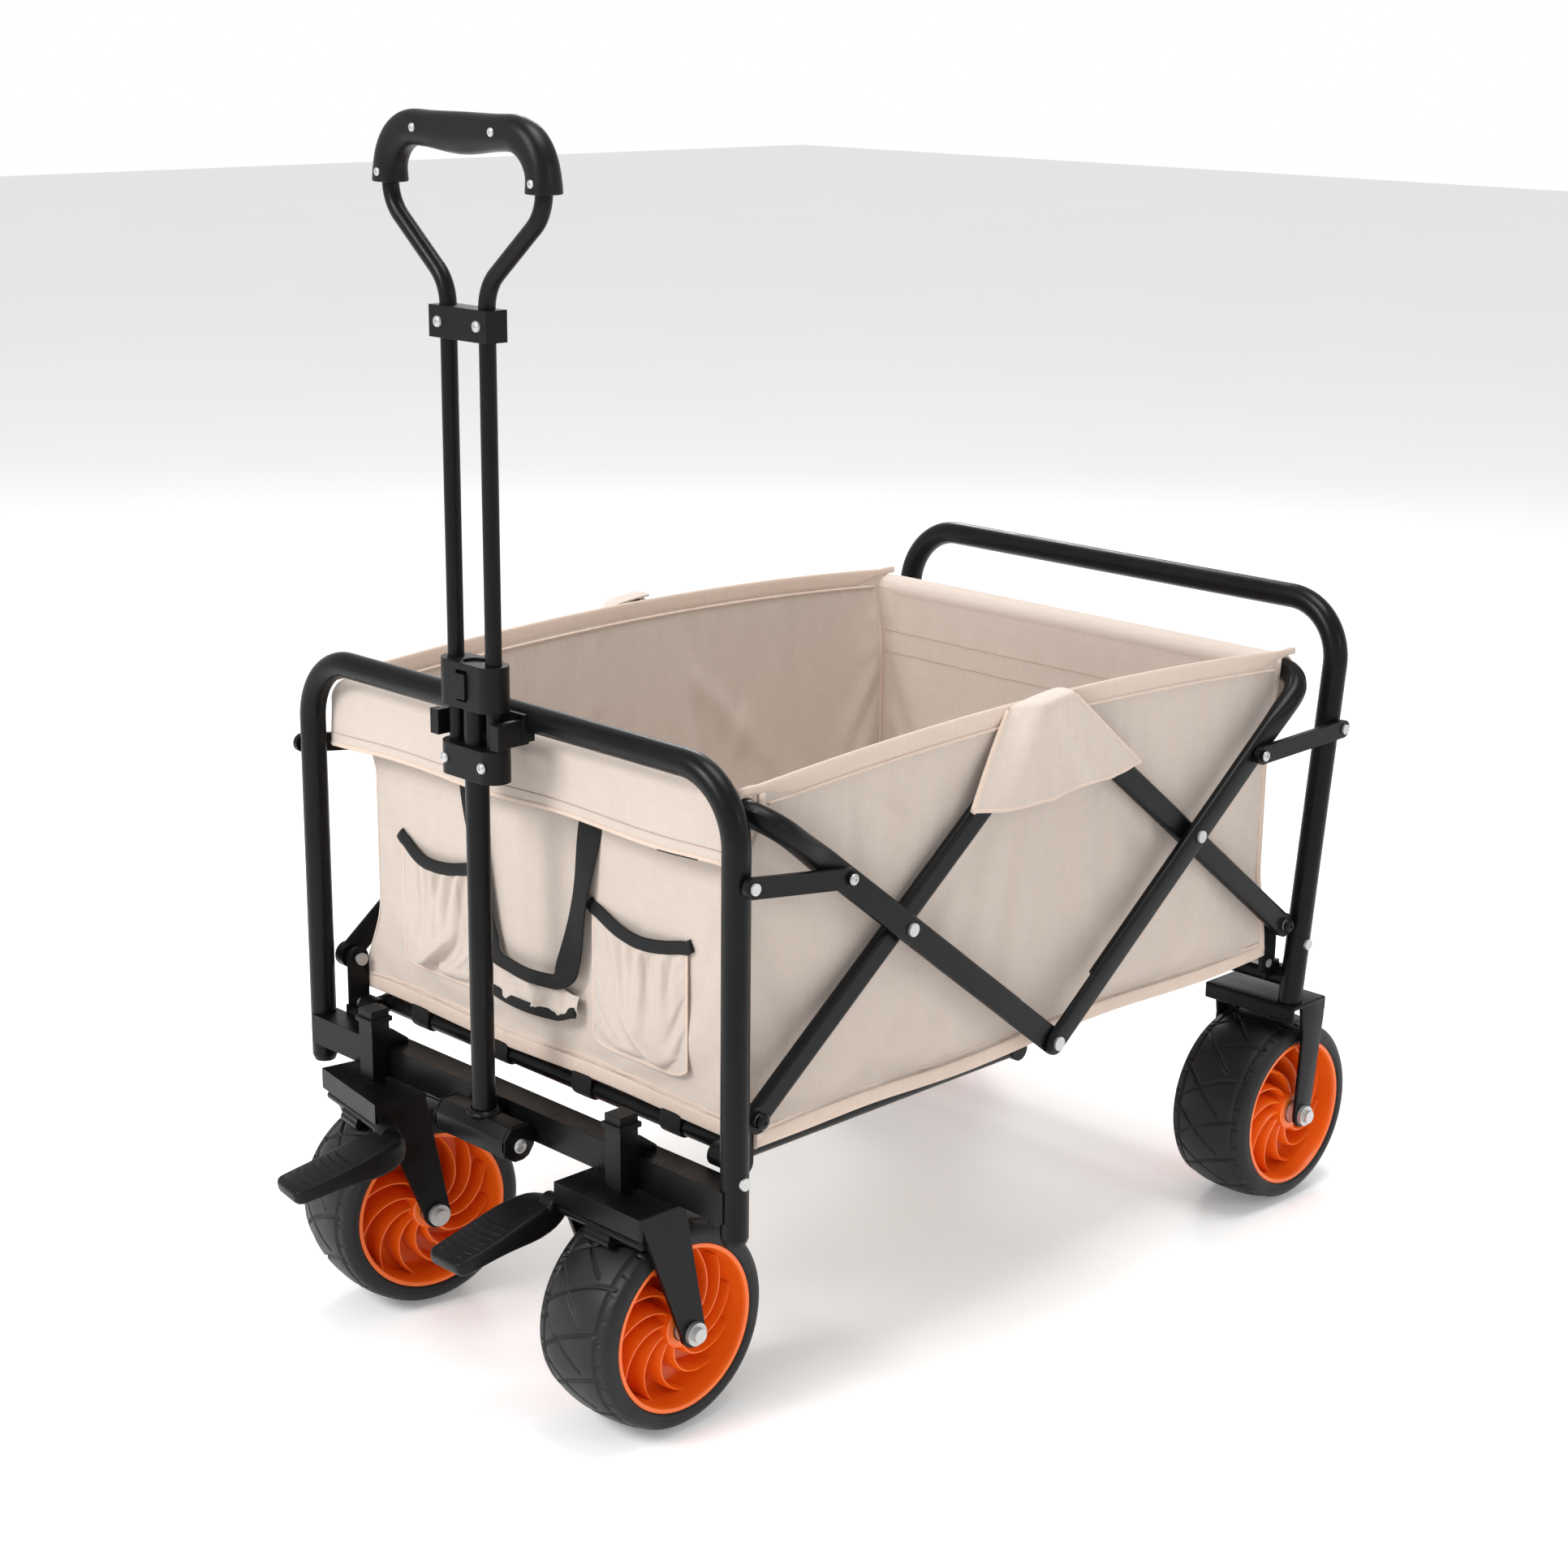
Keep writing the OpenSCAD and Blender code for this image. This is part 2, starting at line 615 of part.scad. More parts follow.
// A guide link on the right side, from its post rivet at (y, z) to the outer frame
module link(y, z, end_y, end_z) {
    dy = end_y - y;
    dz = end_z - z;
    len = sqrt(dy * dy + dz * dz);
    turn = atan2(dz, dy);
    color("#1b1c1f") difference() {
        translate([0, y, z]) rotate([turn, 0, 0]) {
            translate([link_x0, 0, -link_w / 2]) cube([link_t, len, link_w]);
            x_rod(link_x0, link_x0 + link_t, 0, 0, link_w / 2);
            x_rod(link_x0, link_x0 + link_t, len, 0, link_w / 2);
            x_rod(link_x0 + link_t, link_x0 + link_t + 2.4, len, 0, rivet_r + 2.2);
            x_rod(outer_x0 + bar_t + gap, link_x0, len, 0, rivet_r + 2);
        }
        x_rod(link_x0 - 1, link_x0 + link_t + 1, y, z, rivet_r + run);
    }
}

module link_front_right() {
    link(post_y, link_post_z(pivot_off), pivot_y + link_y(open_angle), link_z(open_angle));
}
module link_rear_right() {
    z = link_post_z(rear_link_off);
    link(rear_post_at(z), z, rear_pivot_y - link_y(open_angle), link_z(open_angle));
}
module link_front_left() { mirror([1, 0, 0]) link_front_right(); }
module link_rear_left() { mirror([1, 0, 0]) link_rear_right(); }

// ---- base frame and floor ----

// One half of the base frame: two rails, an end tube and the hinge discs
module base_half(rail_x, y_hinge, y_mid) {
    dir = sign(y_mid - y_hinge);
    y_end = y_hinge + dir * base_end_off;
    color("#1b1c1f") difference() {
        union() {
            both_sides() {
                translate([rail_x, y_hinge, base_z]) rotate([dir > 0 ? -90 : 90, 0, 0])
                    cylinder(h = abs(y_mid - y_hinge), r = base_r);
                x_rod(rail_x - base_r - 1, rail_x + base_r + 1, y_hinge, base_z, 9.5);
                x_rod(rail_x - base_r - 1, rail_x + base_r + 1, y_mid, base_z, 9.5);
            }
            x_rod(-rail_x - 6, rail_x + 6, y_end, base_z, base_r - 1);
        }
        both_sides() x_rod(rail_x - 20, rail_x + 20, y_hinge, base_z, bolt_r + run);
    }
}

module base_frame_front() { base_half(front_rail_x, pivot_y, mid_y); }
module base_frame_rear() { base_half(rear_rail_x, rear_pivot_y, mid_y); }

module floor_board(y0, y1) {
    color("#cbb3a3") translate([-tub_half_w + 6, y0, tub_z]) cube([2 * tub_half_w - 12, y1 - y0, floor_t]);
}
module floor_board_front() { floor_board(pivot_y + 16, mid_y - 1.5); }
module floor_board_rear() { floor_board(mid_y + 1.5, rear_pivot_y - 16); }

// ---- fabric tub ----

// An end wall with its sleeve round the cross tube; dir is +1 when the tub lies towards +Y
module end_wall(y_tube, dir, flap_drop) {
    sleeve_in = cross_tube_r + 0.6;
    sleeve_r = sleeve_in + cloth_t;
    half_w = tub_half_w - cloth_t - 1;
    wall_y = y_tube + dir * (sleeve_r - cloth_t / 2);
    flap_y = y_tube - dir * (sleeve_r - cloth_t / 2);
    difference() {
        union() {
            x_rod(-half_w + 18, half_w - 18, y_tube, top_z, sleeve_r);
            translate([-half_w, wall_y - cloth_t / 2, tub_z]) cube([2 * half_w, cloth_t, top_z - tub_z - 14]);
            translate([-half_w + 18, wall_y - cloth_t / 2, top_z - 20]) cube([2 * half_w - 36, cloth_t, 20]);
            translate([-half_w + 18, flap_y - cloth_t / 2, top_z - flap_drop])
                cube([2 * half_w - 36, cloth_t, flap_drop]);
        }
        x_rod(-post_x, post_x, y_tube, top_z, sleeve_in);
        translate([-post_x, y_tube - sleeve_in, top_z - 2 * sleeve_r])
            cube([2 * post_x, 2 * sleeve_in, 2 * sleeve_r]);
    }
}

module front_wall() { color("#dcc6b8") end_wall(pivot_y, 1, 42); }
module rear_wall() { color("#dcc6b8") end_wall(rear_pivot_y, -1, 42); }

// Side walls, each with the flap that covers the top joint of the inner bars
module side_walls() {
    y0 = pivot_y + cross_tube_r + 3;
    y1 = rear_pivot_y - cross_tube_r - 3;
    peak = peak_z + 15;
    flap_x = inner_x0 + bar_t + 1.8;
    flap_half = 104;
    color("#dcc6b8") both_sides() {
        translate([tub_half_w - cloth_t, 0, 0]) rotate([90, 0, 90]) linear_extrude(cloth_t)
            polygon([[y0, tub_z], [y1, tub_z], [y1, top_z + 8], [mid_y, peak], [y0, top_z + 8]]);
        translate([flap_x, 0, 0]) rotate([90, 0, 90]) linear_extrude(cloth_t)
            polygon([[mid_y, peak], [mid_y - flap_half, peak_z - 66], [mid_y, peak_z - 80],
                     [mid_y + flap_half, peak_z - 66]]);
        translate([tub_half_w - cloth_t, mid_y - 8, peak - 3]) cube([flap_x - tub_half_w + 2 * cloth_t, 16, 2]);
    }
}

pocket_face_y = pivot_y + cross_tube_r + 0.6;
module front_pockets() {
    color("#dcc6b8") both_sides() difference() {
        translate([72, pocket_face_y - 16, 276]) cube([110, 16, 116]);
        translate([74, pocket_face_y - 14.5, 278]) cube([106, 16, 118]);
    }
}

module front_strap() {
    color("#101010") {
        both_sides() translate([38, pocket_face_y - 2.4, 304]) cube([24, 2, 118]);
        translate([-62, pocket_face_y - 2.4, 292]) cube([124, 2, 14]);
    }
}

// ---- pull handle ----

// Channel foot that turns on the barrel; its bolt runs along X
module handle_foot() {
    top = handle_pivot_z + 17;
    color("#18181a") difference() {
        union() {
            translate([-foot_half, handle_y - 16, top - 4]) cube([2 * foot_half, 32, 4]);
            translate([-foot_half, handle_y - 16, handle_pivot_z - 5]) cube([2 * foot_half, 3, 22]);
            both_sides() {
                x_rod(foot_half - 4, foot_half, handle_y, handle_pivot_z, 12);
                translate([foot_half - 4, handle_y - 16, handle_pivot_z]) cube([4, 28, 17]);
                x_rod(foot_half, foot_half + 4, handle_y, handle_pivot_z, 7);
            }
            x_rod(-foot_half, foot_half, handle_y, handle_pivot_z, bolt_r);
        }
    }
}

module handle_tube() {
    z0 = handle_pivot_z + 17;
    color("#1b1c1f") translate([0, handle_y, z0]) cylinder(h = guide_z0 + guide_h - 2 - z0, r = handle_tube_r);
}

// A clamp body across the three tubes; the bores are given as radii
module clamp_block(z0, h, half_w, depth, mid_r, side_r) {
    difference() {
        union() {
            translate([-half_w + depth / 2, handle_y - depth / 2, z0]) cube([2 * half_w - depth, depth, h]);
            both_sides() translate([half_w - depth / 2, handle_y, z0]) cylinder(h = h, r = depth / 2);
        }
        translate([0, handle_y, z0 - 1]) cylinder(h = h + 2, r = mid_r);
        both_sides() translate([loop_x, handle_y, z0 - 1]) cylinder(h = h + 2, r = side_r);
    }
}

// Upper clamp, fixed on the lower tube; the loop slides through it
module handle_guide() {
    color("#141416") difference() {
        clamp_block(guide_z0, guide_h, 34, 27, handle_tube_r, loop_r + run);
        translate([-6 - gap, handle_y - 20, guide_z0 + 6]) cube([12 + 2 * gap, 20 - handle_tube_r, 24 + gap]);
    }
}

module lock_button() {
    color("#232325") translate([-6, handle_y - 15.5, guide_z0 + 8]) cube([12, 2.8, 20]);
}

// Copies its children to the other side by a half turn about the handle's axis
module both_arms() {
    children();
    translate([0, 2 * handle_y, 0]) rotate([0, 0, 180]) children();
}

// Top of the S bends, where the loop's arms are vertical again
arm_z = neck_z0 + neck_h + 2 * s_bend * sin(s_angle)
    + (loop_half_w - loop_x - 2 * s_bend * (1 - cos(s_angle))) / tan(s_angle);

// Upper corner of the loop from the arm's start to the middle, as round stock
module loop_corner(r, z0) {
    translate([loop_half_w, handle_y, z0]) cylinder(h = grip_z - grip_bend - z0, r = r);
    translate([loop_half_w, handle_y, grip_z - grip_bend]) tube_corner(grip_bend, r);
}

// One arm of the loop from its lower end to the top of the S bend. The straights reach
// a little way into the bends, which are a hair thicker
module loop_arm() {
    lap = 1;
    bend_r = loop_r + 0.05;
    s_z = neck_z0 + neck_h;
    x1 = loop_x + s_bend * (1 - cos(s_angle));
    s_len = (loop_half_w - loop_x - 2 * s_bend * (1 - cos(s_angle))) / sin(s_angle);
    translate([loop_x, handle_y, collar_z0 + 2]) cylinder(h = s_z - collar_z0 - 2 + lap, r = loop_r);
    translate([loop_x + s_bend, handle_y, s_z]) rotate([90, 0, 0]) rotate([0, 0, 180 - s_angle])
        rotate_extrude(angle = s_angle) translate([s_bend, 0]) circle(r = bend_r);
    translate([x1, handle_y, s_z + s_bend * sin(s_angle)]) rotate([0, s_angle, 0])
        translate([0, 0, -lap]) cylinder(h = s_len + 2 * lap, r = loop_r);
    translate([loop_half_w - s_bend, handle_y, arm_z]) rotate([90, 0, 0]) rotate([0, 0, -s_angle])
        rotate_extrude(angle = s_angle) translate([s_bend, 0]) circle(r = bend_r);
}

module handle_loop() {
    color("#1b1c1f") {
        both_arms() loop_arm();
        both_arms() loop_corner(loop_r, arm_z - 1);
        x_rod(-loop_half_w + grip_bend, loop_half_w - grip_bend, handle_y, grip_z, loop_r);
    }
}

// Lower collar, which slides on the lower tube, and the neck collar at the top of the loop
module handle_collars() {
    color("#141416") {
        clamp_block(collar_z0, collar_h, 34, 27, handle_tube_r + run, loop_r);
        difference() {
            translate([-34, handle_y - 10, neck_z0]) cube([68, 20, neck_h]);
            both_sides() translate([loop_x, handle_y, neck_z0 - 1]) cylinder(h = neck_h + 2, r = loop_r);
        }
    }
    color("silver") for (x = [-loop_x, loop_x]) {
        translate([x, handle_y - 13, collar_z0 + collar_h / 2]) rotate([90, 0, 0]) cylinder(h = 2, r = 3.4);
        translate([x, handle_y - 9.5, neck_z0 + neck_h / 2]) rotate([90, 0, 0]) cylinder(h = 2, r = 3.4);
    }
}

module handle_grip() {
    mid_x = loop_half_w - grip_bend;
    color("#131315") difference() {
        union() {
            both_arms() loop_corner(grip_r, arm_z);
            x_rod(-mid_x, mid_x, handle_y, grip_z, grip_r);
        }
        both_arms() loop_corner(loop_r, arm_z);
        x_rod(-mid_x, mid_x, handle_y, grip_z, loop_r);
    }
}

front_hoop();
front_crossbar();
caster_sockets();
socket_caps();
caster_bushes();
front_brackets();
front_frame_bolts();
handle_barrel();
handle_clip();
front_feet();
rear_hoop();
rear_crossbar();
rear_forks();
rear_axles();
rear_brackets();
rear_frame_bolts();
rear_tyre_right();
rear_rim_right();
rear_tyre_left();
rear_rim_left();
caster_fork_right();
caster_axle_right();
brake_lever_right();
brake_shaft_right();
front_tyre_right();
front_rim_right();
caster_fork_left();
caster_axle_left();
brake_lever_left();
brake_shaft_left();
front_tyre_left();
front_rim_left();
inner_bar_front_right();
inner_bar_rear_right();
inner_bar_front_left();
inner_bar_rear_left();
outer_frame_front();
outer_frame_rear();
scissor_rivets_front();
scissor_rivets_rear();
link_front_right();
link_front_left();
link_rear_right();
link_rear_left();
base_frame_front();
base_frame_rear();
floor_board_front();
floor_board_rear();
front_wall();
side_walls();
rear_wall();
front_pockets();
front_strap();
handle_foot();
handle_tube();
handle_guide();
lock_button();
handle_loop();
handle_collars();
handle_grip();
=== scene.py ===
"""Folding fabric wagon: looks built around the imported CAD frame. Metres, +Z up, the handle at -Y."""

import json
import math

import bmesh
import bpy
import numpy as np
from mathutils import Matrix, Vector, noise


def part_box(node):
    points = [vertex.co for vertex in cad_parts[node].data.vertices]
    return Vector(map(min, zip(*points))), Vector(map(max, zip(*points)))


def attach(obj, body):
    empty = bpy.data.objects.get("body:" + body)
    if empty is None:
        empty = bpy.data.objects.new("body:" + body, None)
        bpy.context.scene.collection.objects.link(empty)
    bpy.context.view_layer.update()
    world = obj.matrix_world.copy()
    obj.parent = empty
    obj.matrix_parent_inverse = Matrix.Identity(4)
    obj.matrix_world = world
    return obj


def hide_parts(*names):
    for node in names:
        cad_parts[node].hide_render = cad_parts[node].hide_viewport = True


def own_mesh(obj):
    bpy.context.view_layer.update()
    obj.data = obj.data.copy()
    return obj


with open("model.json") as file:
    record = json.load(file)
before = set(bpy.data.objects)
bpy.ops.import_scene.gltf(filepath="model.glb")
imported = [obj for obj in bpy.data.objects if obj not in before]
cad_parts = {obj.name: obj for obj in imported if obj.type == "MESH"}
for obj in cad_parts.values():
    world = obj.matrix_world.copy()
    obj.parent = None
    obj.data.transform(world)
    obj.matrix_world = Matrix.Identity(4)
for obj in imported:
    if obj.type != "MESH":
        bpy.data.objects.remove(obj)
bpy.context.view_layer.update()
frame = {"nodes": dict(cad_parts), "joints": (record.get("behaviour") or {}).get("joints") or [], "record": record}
joints = {j["name"]: j for j in frame["joints"]}
nodes = frame["nodes"]
mm = 0.001

# ---- places read from the frame ----
PY, PZ = joints["fold"]["pos_m"][1:]
TOPZ = joints["front_sleeve"]["pos_m"][2]
RY = joints["rear_sleeve"]["pos_m"][1]
MID, PEAKZ = joints["peak_right"]["pos_m"][1:]
hoop_lo, hoop_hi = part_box("front_hoop")
POST_Y = (hoop_lo.y + hoop_hi.y) / 2
floor_lo, floor_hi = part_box("floor_board_front")
WALL_X = floor_hi.x + 4.9 * mm
WALL_LOW = floor_lo.z + 1.5 * mm
SLEEVE_R = 12.3 * mm


# ---- materials ----
def new_material(name, color, rough, metallic=0.0, sheen=0.0, coat=0.0, spec=0.5):
    mat = bpy.data.materials.new(name)
    mat.use_nodes = True
    shader = mat.node_tree.nodes["Principled BSDF"]
    shader.inputs["Base Color"].default_value = (*color, 1)
    shader.inputs["Roughness"].default_value = rough
    shader.inputs["Metallic"].default_value = metallic
    shader.inputs["Sheen Weight"].default_value = sheen
    shader.inputs["Sheen Roughness"].default_value = 0.5
    shader.inputs["Coat Weight"].default_value = coat
    shader.inputs["Coat Roughness"].default_value = 0.12
    shader.inputs["Specular IOR Level"].default_value = spec
    return mat, mat.node_tree, shader


def add(tree, kind, **values):
    node = tree.nodes.new(kind)
    for key, value in values.items():
        if key in node.inputs:
            node.inputs[key].default_value = value
        else:
            setattr(node, key, value)
    return node


def object_coords(tree):
    return add(tree, "ShaderNodeTexCoord").outputs["Object"]


def noise_of(tree, scale, detail=3.0, coords=None):
    tex = add(tree, "ShaderNodeTexNoise", Scale=scale, Detail=detail)
    tree.links.new(coords or object_coords(tree), tex.inputs["Vector"])
    return tex.outputs["Fac"]


def ramp(tree, value, low, high, from_low=0.3, from_high=0.7):
    node = add(tree, "ShaderNodeMapRange")
    for key, v in (("From Min", from_low), ("From Max", from_high), ("To Min", low), ("To Max", high)):
        node.inputs[key].default_value = v
    tree.links.new(value, node.inputs["Value"])
    return node.outputs["Result"]


def mix_color(tree, value, a, b, from_low=0.3, from_high=0.7):
    node = add(tree, "ShaderNodeMix", data_type="RGBA")
    node.inputs["A"].default_value = (*a, 1)
    node.inputs["B"].default_value = (*b, 1)
    tree.links.new(ramp(tree, value, 0, 1, from_low, from_high), node.inputs["Factor"])
    return node.outputs["Result"]


def bump(tree, shader, height, strength, distance, below=None):
    node = add(tree, "ShaderNodeBump", Strength=strength, Distance=distance)
    tree.links.new(height, node.inputs["Height"])
    if below is not None:
        tree.links.new(below, node.inputs["Normal"])
    tree.links.new(node.outputs["Normal"], shader.inputs["Normal"])
    return node.outputs["Normal"]


def edge_normal(tree, radius):
    node = add(tree, "ShaderNodeBevel", samples=4)
    node.inputs["Radius"].default_value = radius
    return node.outputs["Normal"]


def hard_material(name, dark, light, rough, grain, depth, radius, **kw):
    """Paint or moulded plastic: two shades in slow patches, fine grain, softened edges, uneven gloss."""
    mat, tree, shader = new_material(name, light, rough, **kw)
    coords = object_coords(tree)
    patch = noise_of(tree, 9.0, 4.0, coords)
    tree.links.new(mix_color(tree, patch, dark, light), shader.inputs["Base Color"])
    tree.links.new(
        ramp(tree, noise_of(tree, 37.0, 4.0, coords), rough - 0.06, rough + 0.08),
        shader.inputs["Roughness"])
    below = edge_normal(tree, radius) if radius else None
    bump(tree, shader, noise_of(tree, grain, 2.0, coords), 0.35, depth, below)
    return mat


def weave(tree, coords, pitch):
    """Uneven yarns in two directions: fine noise drawn out along each of them."""
    fine, long = 0.32 / pitch, 0.045 / pitch
    total = None
    for scale in ((long, long, fine), (fine, fine, long)):
        node = add(tree, "ShaderNodeMapping")
        node.inputs["Scale"].default_value = scale
        tree.links.new(coords, node.inputs["Vector"])
        fac = noise_of(tree, 1.0, 2.0, node.outputs["Vector"])
        if total is None:
            total = fac
        else:
            both = add(tree, "ShaderNodeMath", operation="ADD")
            tree.links.new(total, both.inputs[0])
            tree.links.new(fac, both.inputs[1])
            total = both.outputs["Value"]
    return total


def cloth_material(name, dark, light, rough, pitch, depth, sheen):
    mat, tree, shader = new_material(name, light, rough, sheen=sheen, spec=0.25)
    coords = object_coords(tree)
    threads = weave(tree, coords, pitch)
    patch = mix_color(tree, noise_of(tree, 5.0, 3.0, coords), dark, light, 0.25, 0.75)
    shade = add(tree, "ShaderNodeMix", data_type="RGBA", blend_type="MULTIPLY")
    shade.inputs["Factor"].default_value = 1.0
    tree.links.new(patch, shade.inputs["A"])
    tree.links.new(mix_color(tree, threads, (0.93, 0.925, 0.92), (1, 1, 1), 0.6, 1.4), shade.inputs["B"])
    tree.links.new(shade.outputs["Result"], shader.inputs["Base Color"])
    soft = bump(tree, shader, noise_of(tree, 26.0, 4.0, coords), 0.25, 0.0025)
    bump(tree, shader, threads, 0.5, depth, soft)
    return mat


M = {}
HARD = {
    "powder_black": (
        (0.003, 0.003, 0.0033), (0.0052, 0.0053, 0.0057), 0.3, 1500, 0.00012, 0.0008, {"spec": 0.15}),
    "plastic_black": (
        (0.003, 0.003, 0.0033), (0.0055, 0.0055, 0.006), 0.38, 900, 0.00025, 0.0012, {"spec": 0.16}),
    "grip_plastic": ((0.0035, 0.0035, 0.004), (0.006, 0.006, 0.007), 0.38, 1100, 0.0002, 0, {"spec": 0.18}),
    "rim_orange": ((0.83, 0.125, 0.005), (0.92, 0.16, 0.008), 0.34, 320, 0.0001, 0, {"coat": 0.15}),
    "steel": ((0.40, 0.40, 0.395), (0.56, 0.56, 0.555), 0.3, 700, 0.00008, 0.0004, {"metallic": 0.6}),
    "tyre_rubber": ((0.006, 0.006, 0.0068), (0.010, 0.010, 0.0115), 0.46, 1300, 0.0003, 0, {"spec": 0.3}),
}
CLOTH = {
    "beige_cloth": ((0.535, 0.455, 0.40), (0.575, 0.492, 0.432), 0.8, 0.0009, 0.00015, 0.2),
    "binding": ((0.60, 0.475, 0.395), (0.66, 0.53, 0.445), 0.75, 0.0011, 0.0002, 0.2),
    "webbing": ((0.004, 0.004, 0.004), (0.008, 0.008, 0.008), 0.7, 0.0016, 0.0004, 0.04),
    "elastic": ((0.004, 0.004, 0.004), (0.008, 0.008, 0.008), 0.6, 0.0013, 0.0004, 0.04),
    "seam_thread": ((0.43, 0.32, 0.26), (0.50, 0.38, 0.31), 0.8, 0.0008, 0.0001, 0.1),
}
for mat_name, values in HARD.items():
    M[mat_name] = hard_material(mat_name, *values[:-1], **values[-1])
for mat_name, values in CLOTH.items():
    M[mat_name] = cloth_material(mat_name, *values)

slot_of = {s["node"]: s["material_slot"] for s in frame["record"]["subparts"]}
for node_name, node_obj in nodes.items():
    node_obj.data.materials.clear()
    node_obj.data.materials.append(M[slot_of[node_name]])


# ---- mesh helpers ----
def mesh_object(name, verts, faces, mat, smooth=True):
    me = bpy.data.meshes.new(name)
    me.from_pydata([tuple(v) for v in verts], [], faces)
    me.update()
    obj = bpy.data.objects.new(name, me)
    bpy.context.scene.collection.objects.link(obj)
    me.materials.append(M[mat])
    if smooth:
        me.polygons.foreach_set("use_smooth", [True] * len(me.polygons))
    return obj


def grid_faces(nu, nv, closed_u=False, closed_v=False, start=0):
    faces = []
    for i in range(nu if closed_u else nu - 1):
        for j in range(nv if closed_v else nv - 1):
            a, b = i % nu, (i + 1) % nu
            c, d = j % nv, (j + 1) % nv
            faces.append([start + a * nv + c, start + b * nv + c, start + b * nv + d, start + a * nv + d])
    return faces


def grid(name, points, mat, closed_u=False, closed_v=False):
    nu, nv = points.shape[:2]
    return mesh_object(name, points.reshape(-1, 3), grid_faces(nu, nv, closed_u, closed_v), mat)


def outward(obj):
    """Faces turned consistently outwards."""
    bm = bmesh.new()
    bm.from_mesh(obj.data)
    bmesh.ops.recalc_face_normals(bm, faces=bm.faces)
    bm.to_mesh(obj.data)
    bm.free()
    return obj


def apply_all(obj):
    dg = bpy.context.evaluated_depsgraph_get()
    me = bpy.data.meshes.new_from_object(obj.evaluated_get(dg))
    obj.modifiers.clear()
    obj.data = me
    return obj


def subdivide(obj):
    mod = obj.modifiers.new("smooth", "SUBSURF")
    mod.levels = mod.render_levels = 1
    return apply_all(obj)


def thicken(obj, t):
    mod = obj.modifiers.new("thick", "SOLIDIFY")
    mod.thickness = t
    mod.offset = 0.0
    return apply_all(obj)


def loft_faces(n, m, start=0):
    """Faces of a body through n rings of m points, closed at both ends."""
    ends = [list(range(start, start + m)), list(range(start + (n - 1) * m, start + n * m))[::-1]]
    return grid_faces(n, m, False, True, start) + ends


def sweep(name, path, section, mat, up=(0, 0, 1), scale=None):
    """A closed section, in columns (across, up), carried along a path; up is one vector or one a point."""
    path = np.asarray(path, float)
    tangent = np.gradient(path, axis=0)
    tangent /= np.linalg.norm(tangent, axis=1)[:, None]
    across = np.cross(tangent, np.broadcast_to(np.asarray(up, float), path.shape))
    across /= np.linalg.norm(across, axis=1)[:, None]
    ups = np.cross(across, tangent)
    section = np.asarray(section, float)
    rings = []
    for k in range(len(path)):
        sec = section if section.ndim == 2 else section[k]
        f = 1.0 if scale is None else scale[k]
        rings.append(path[k] + f * (sec[:, :1] * across[k] + sec[:, 1:] * ups[k]))
    rings = np.array(rings)
    return outward(mesh_object(name, rings.reshape(-1, 3), loft_faces(*rings.shape[:2]), mat))


def oval(a, b, count=16, power=2.0):
    t = np.linspace(0, 2 * np.pi, count, endpoint=False)
    c, s = np.cos(t), np.sin(t)
    return np.stack(
        [a * np.sign(c) * np.abs(c) ** (2 / power), b * np.sign(s) * np.abs(s) ** (2 / power)], 1)


def add_part(bm, part, edges, bevel, move=None):
    """Rounds edges of a part, moves the part into place and joins it to bm."""
    if bevel:
        bmesh.ops.bevel(part, geom=edges, offset=bevel, segments=3, affect="EDGES", profile=0.5)
    if move is not None:
        bmesh.ops.transform(part, matrix=move, verts=part.verts)
    me = bpy.data.meshes.new("part")
    part.to_mesh(me)
    part.free()
    bm.from_mesh(me)
    bpy.data.meshes.remove(me)


def box_mesh(bm, lo, hi, bevel):
    """A box with rounded edges added to bm."""
    part = bmesh.new()
    bmesh.ops.create_cube(part, size=1.0)
    for v in part.verts:
        v.co = Vector([lo[i] + (v.co[i] + 0.5) * (hi[i] - lo[i]) for i in range(3)])
    add_part(bm, part, part.edges[:], bevel)


def rod_mesh(bm, a, b, radius, bevel=0.0, move=None):
    """A round pin from a to b with softened rims, added to bm."""
    a, b = Vector(a), Vector(b)
    part = bmesh.new()
    bmesh.ops.create_cone(
        part, cap_ends=True, segments=36, radius1=radius, radius2=radius, depth=(b - a).length)
    rims = [e for e in part.edges if abs(e.verts[0].co.z - e.verts[1].co.z) < 1e-7]
    own = Matrix.Translation((a + b) / 2) @ (b - a).to_track_quat("Z", "Y").to_matrix().to_4x4()
    add_part(bm, part, rims, bevel, own if move is None else move @ own)


def prism_mesh(bm, outline, x0, x1, bevel=0.0, move=None):
    """An outline of (y, z) points drawn out from x0 to x1, edges rounded, added to bm."""
    part = bmesh.new()
    ends = [[part.verts.new((x, y, z)) for y, z in outline] for x in (x0, x1)]
    part.faces.new(ends[0])
    part.faces.new(ends[1][::-1])
    n = len(outline)
    for i in range(n):
        part.faces.new((ends[0][i], ends[1][i], ends[1][(i + 1) % n], ends[0][(i + 1) % n]))
    bmesh.ops.recalc_face_normals(part, faces=part.faces)
    add_part(bm, part, part.edges[:], bevel, move)


def loft_mesh(bm, rings):
    """A body through rings of points, added to bm."""
    me = bpy.data.meshes.new("part")
    me.from_pydata([tuple(v) for v in rings.reshape(-1, 3)], [], loft_faces(*rings.shape[:2]))
    bm.from_mesh(me)
    bpy.data.meshes.remove(me)


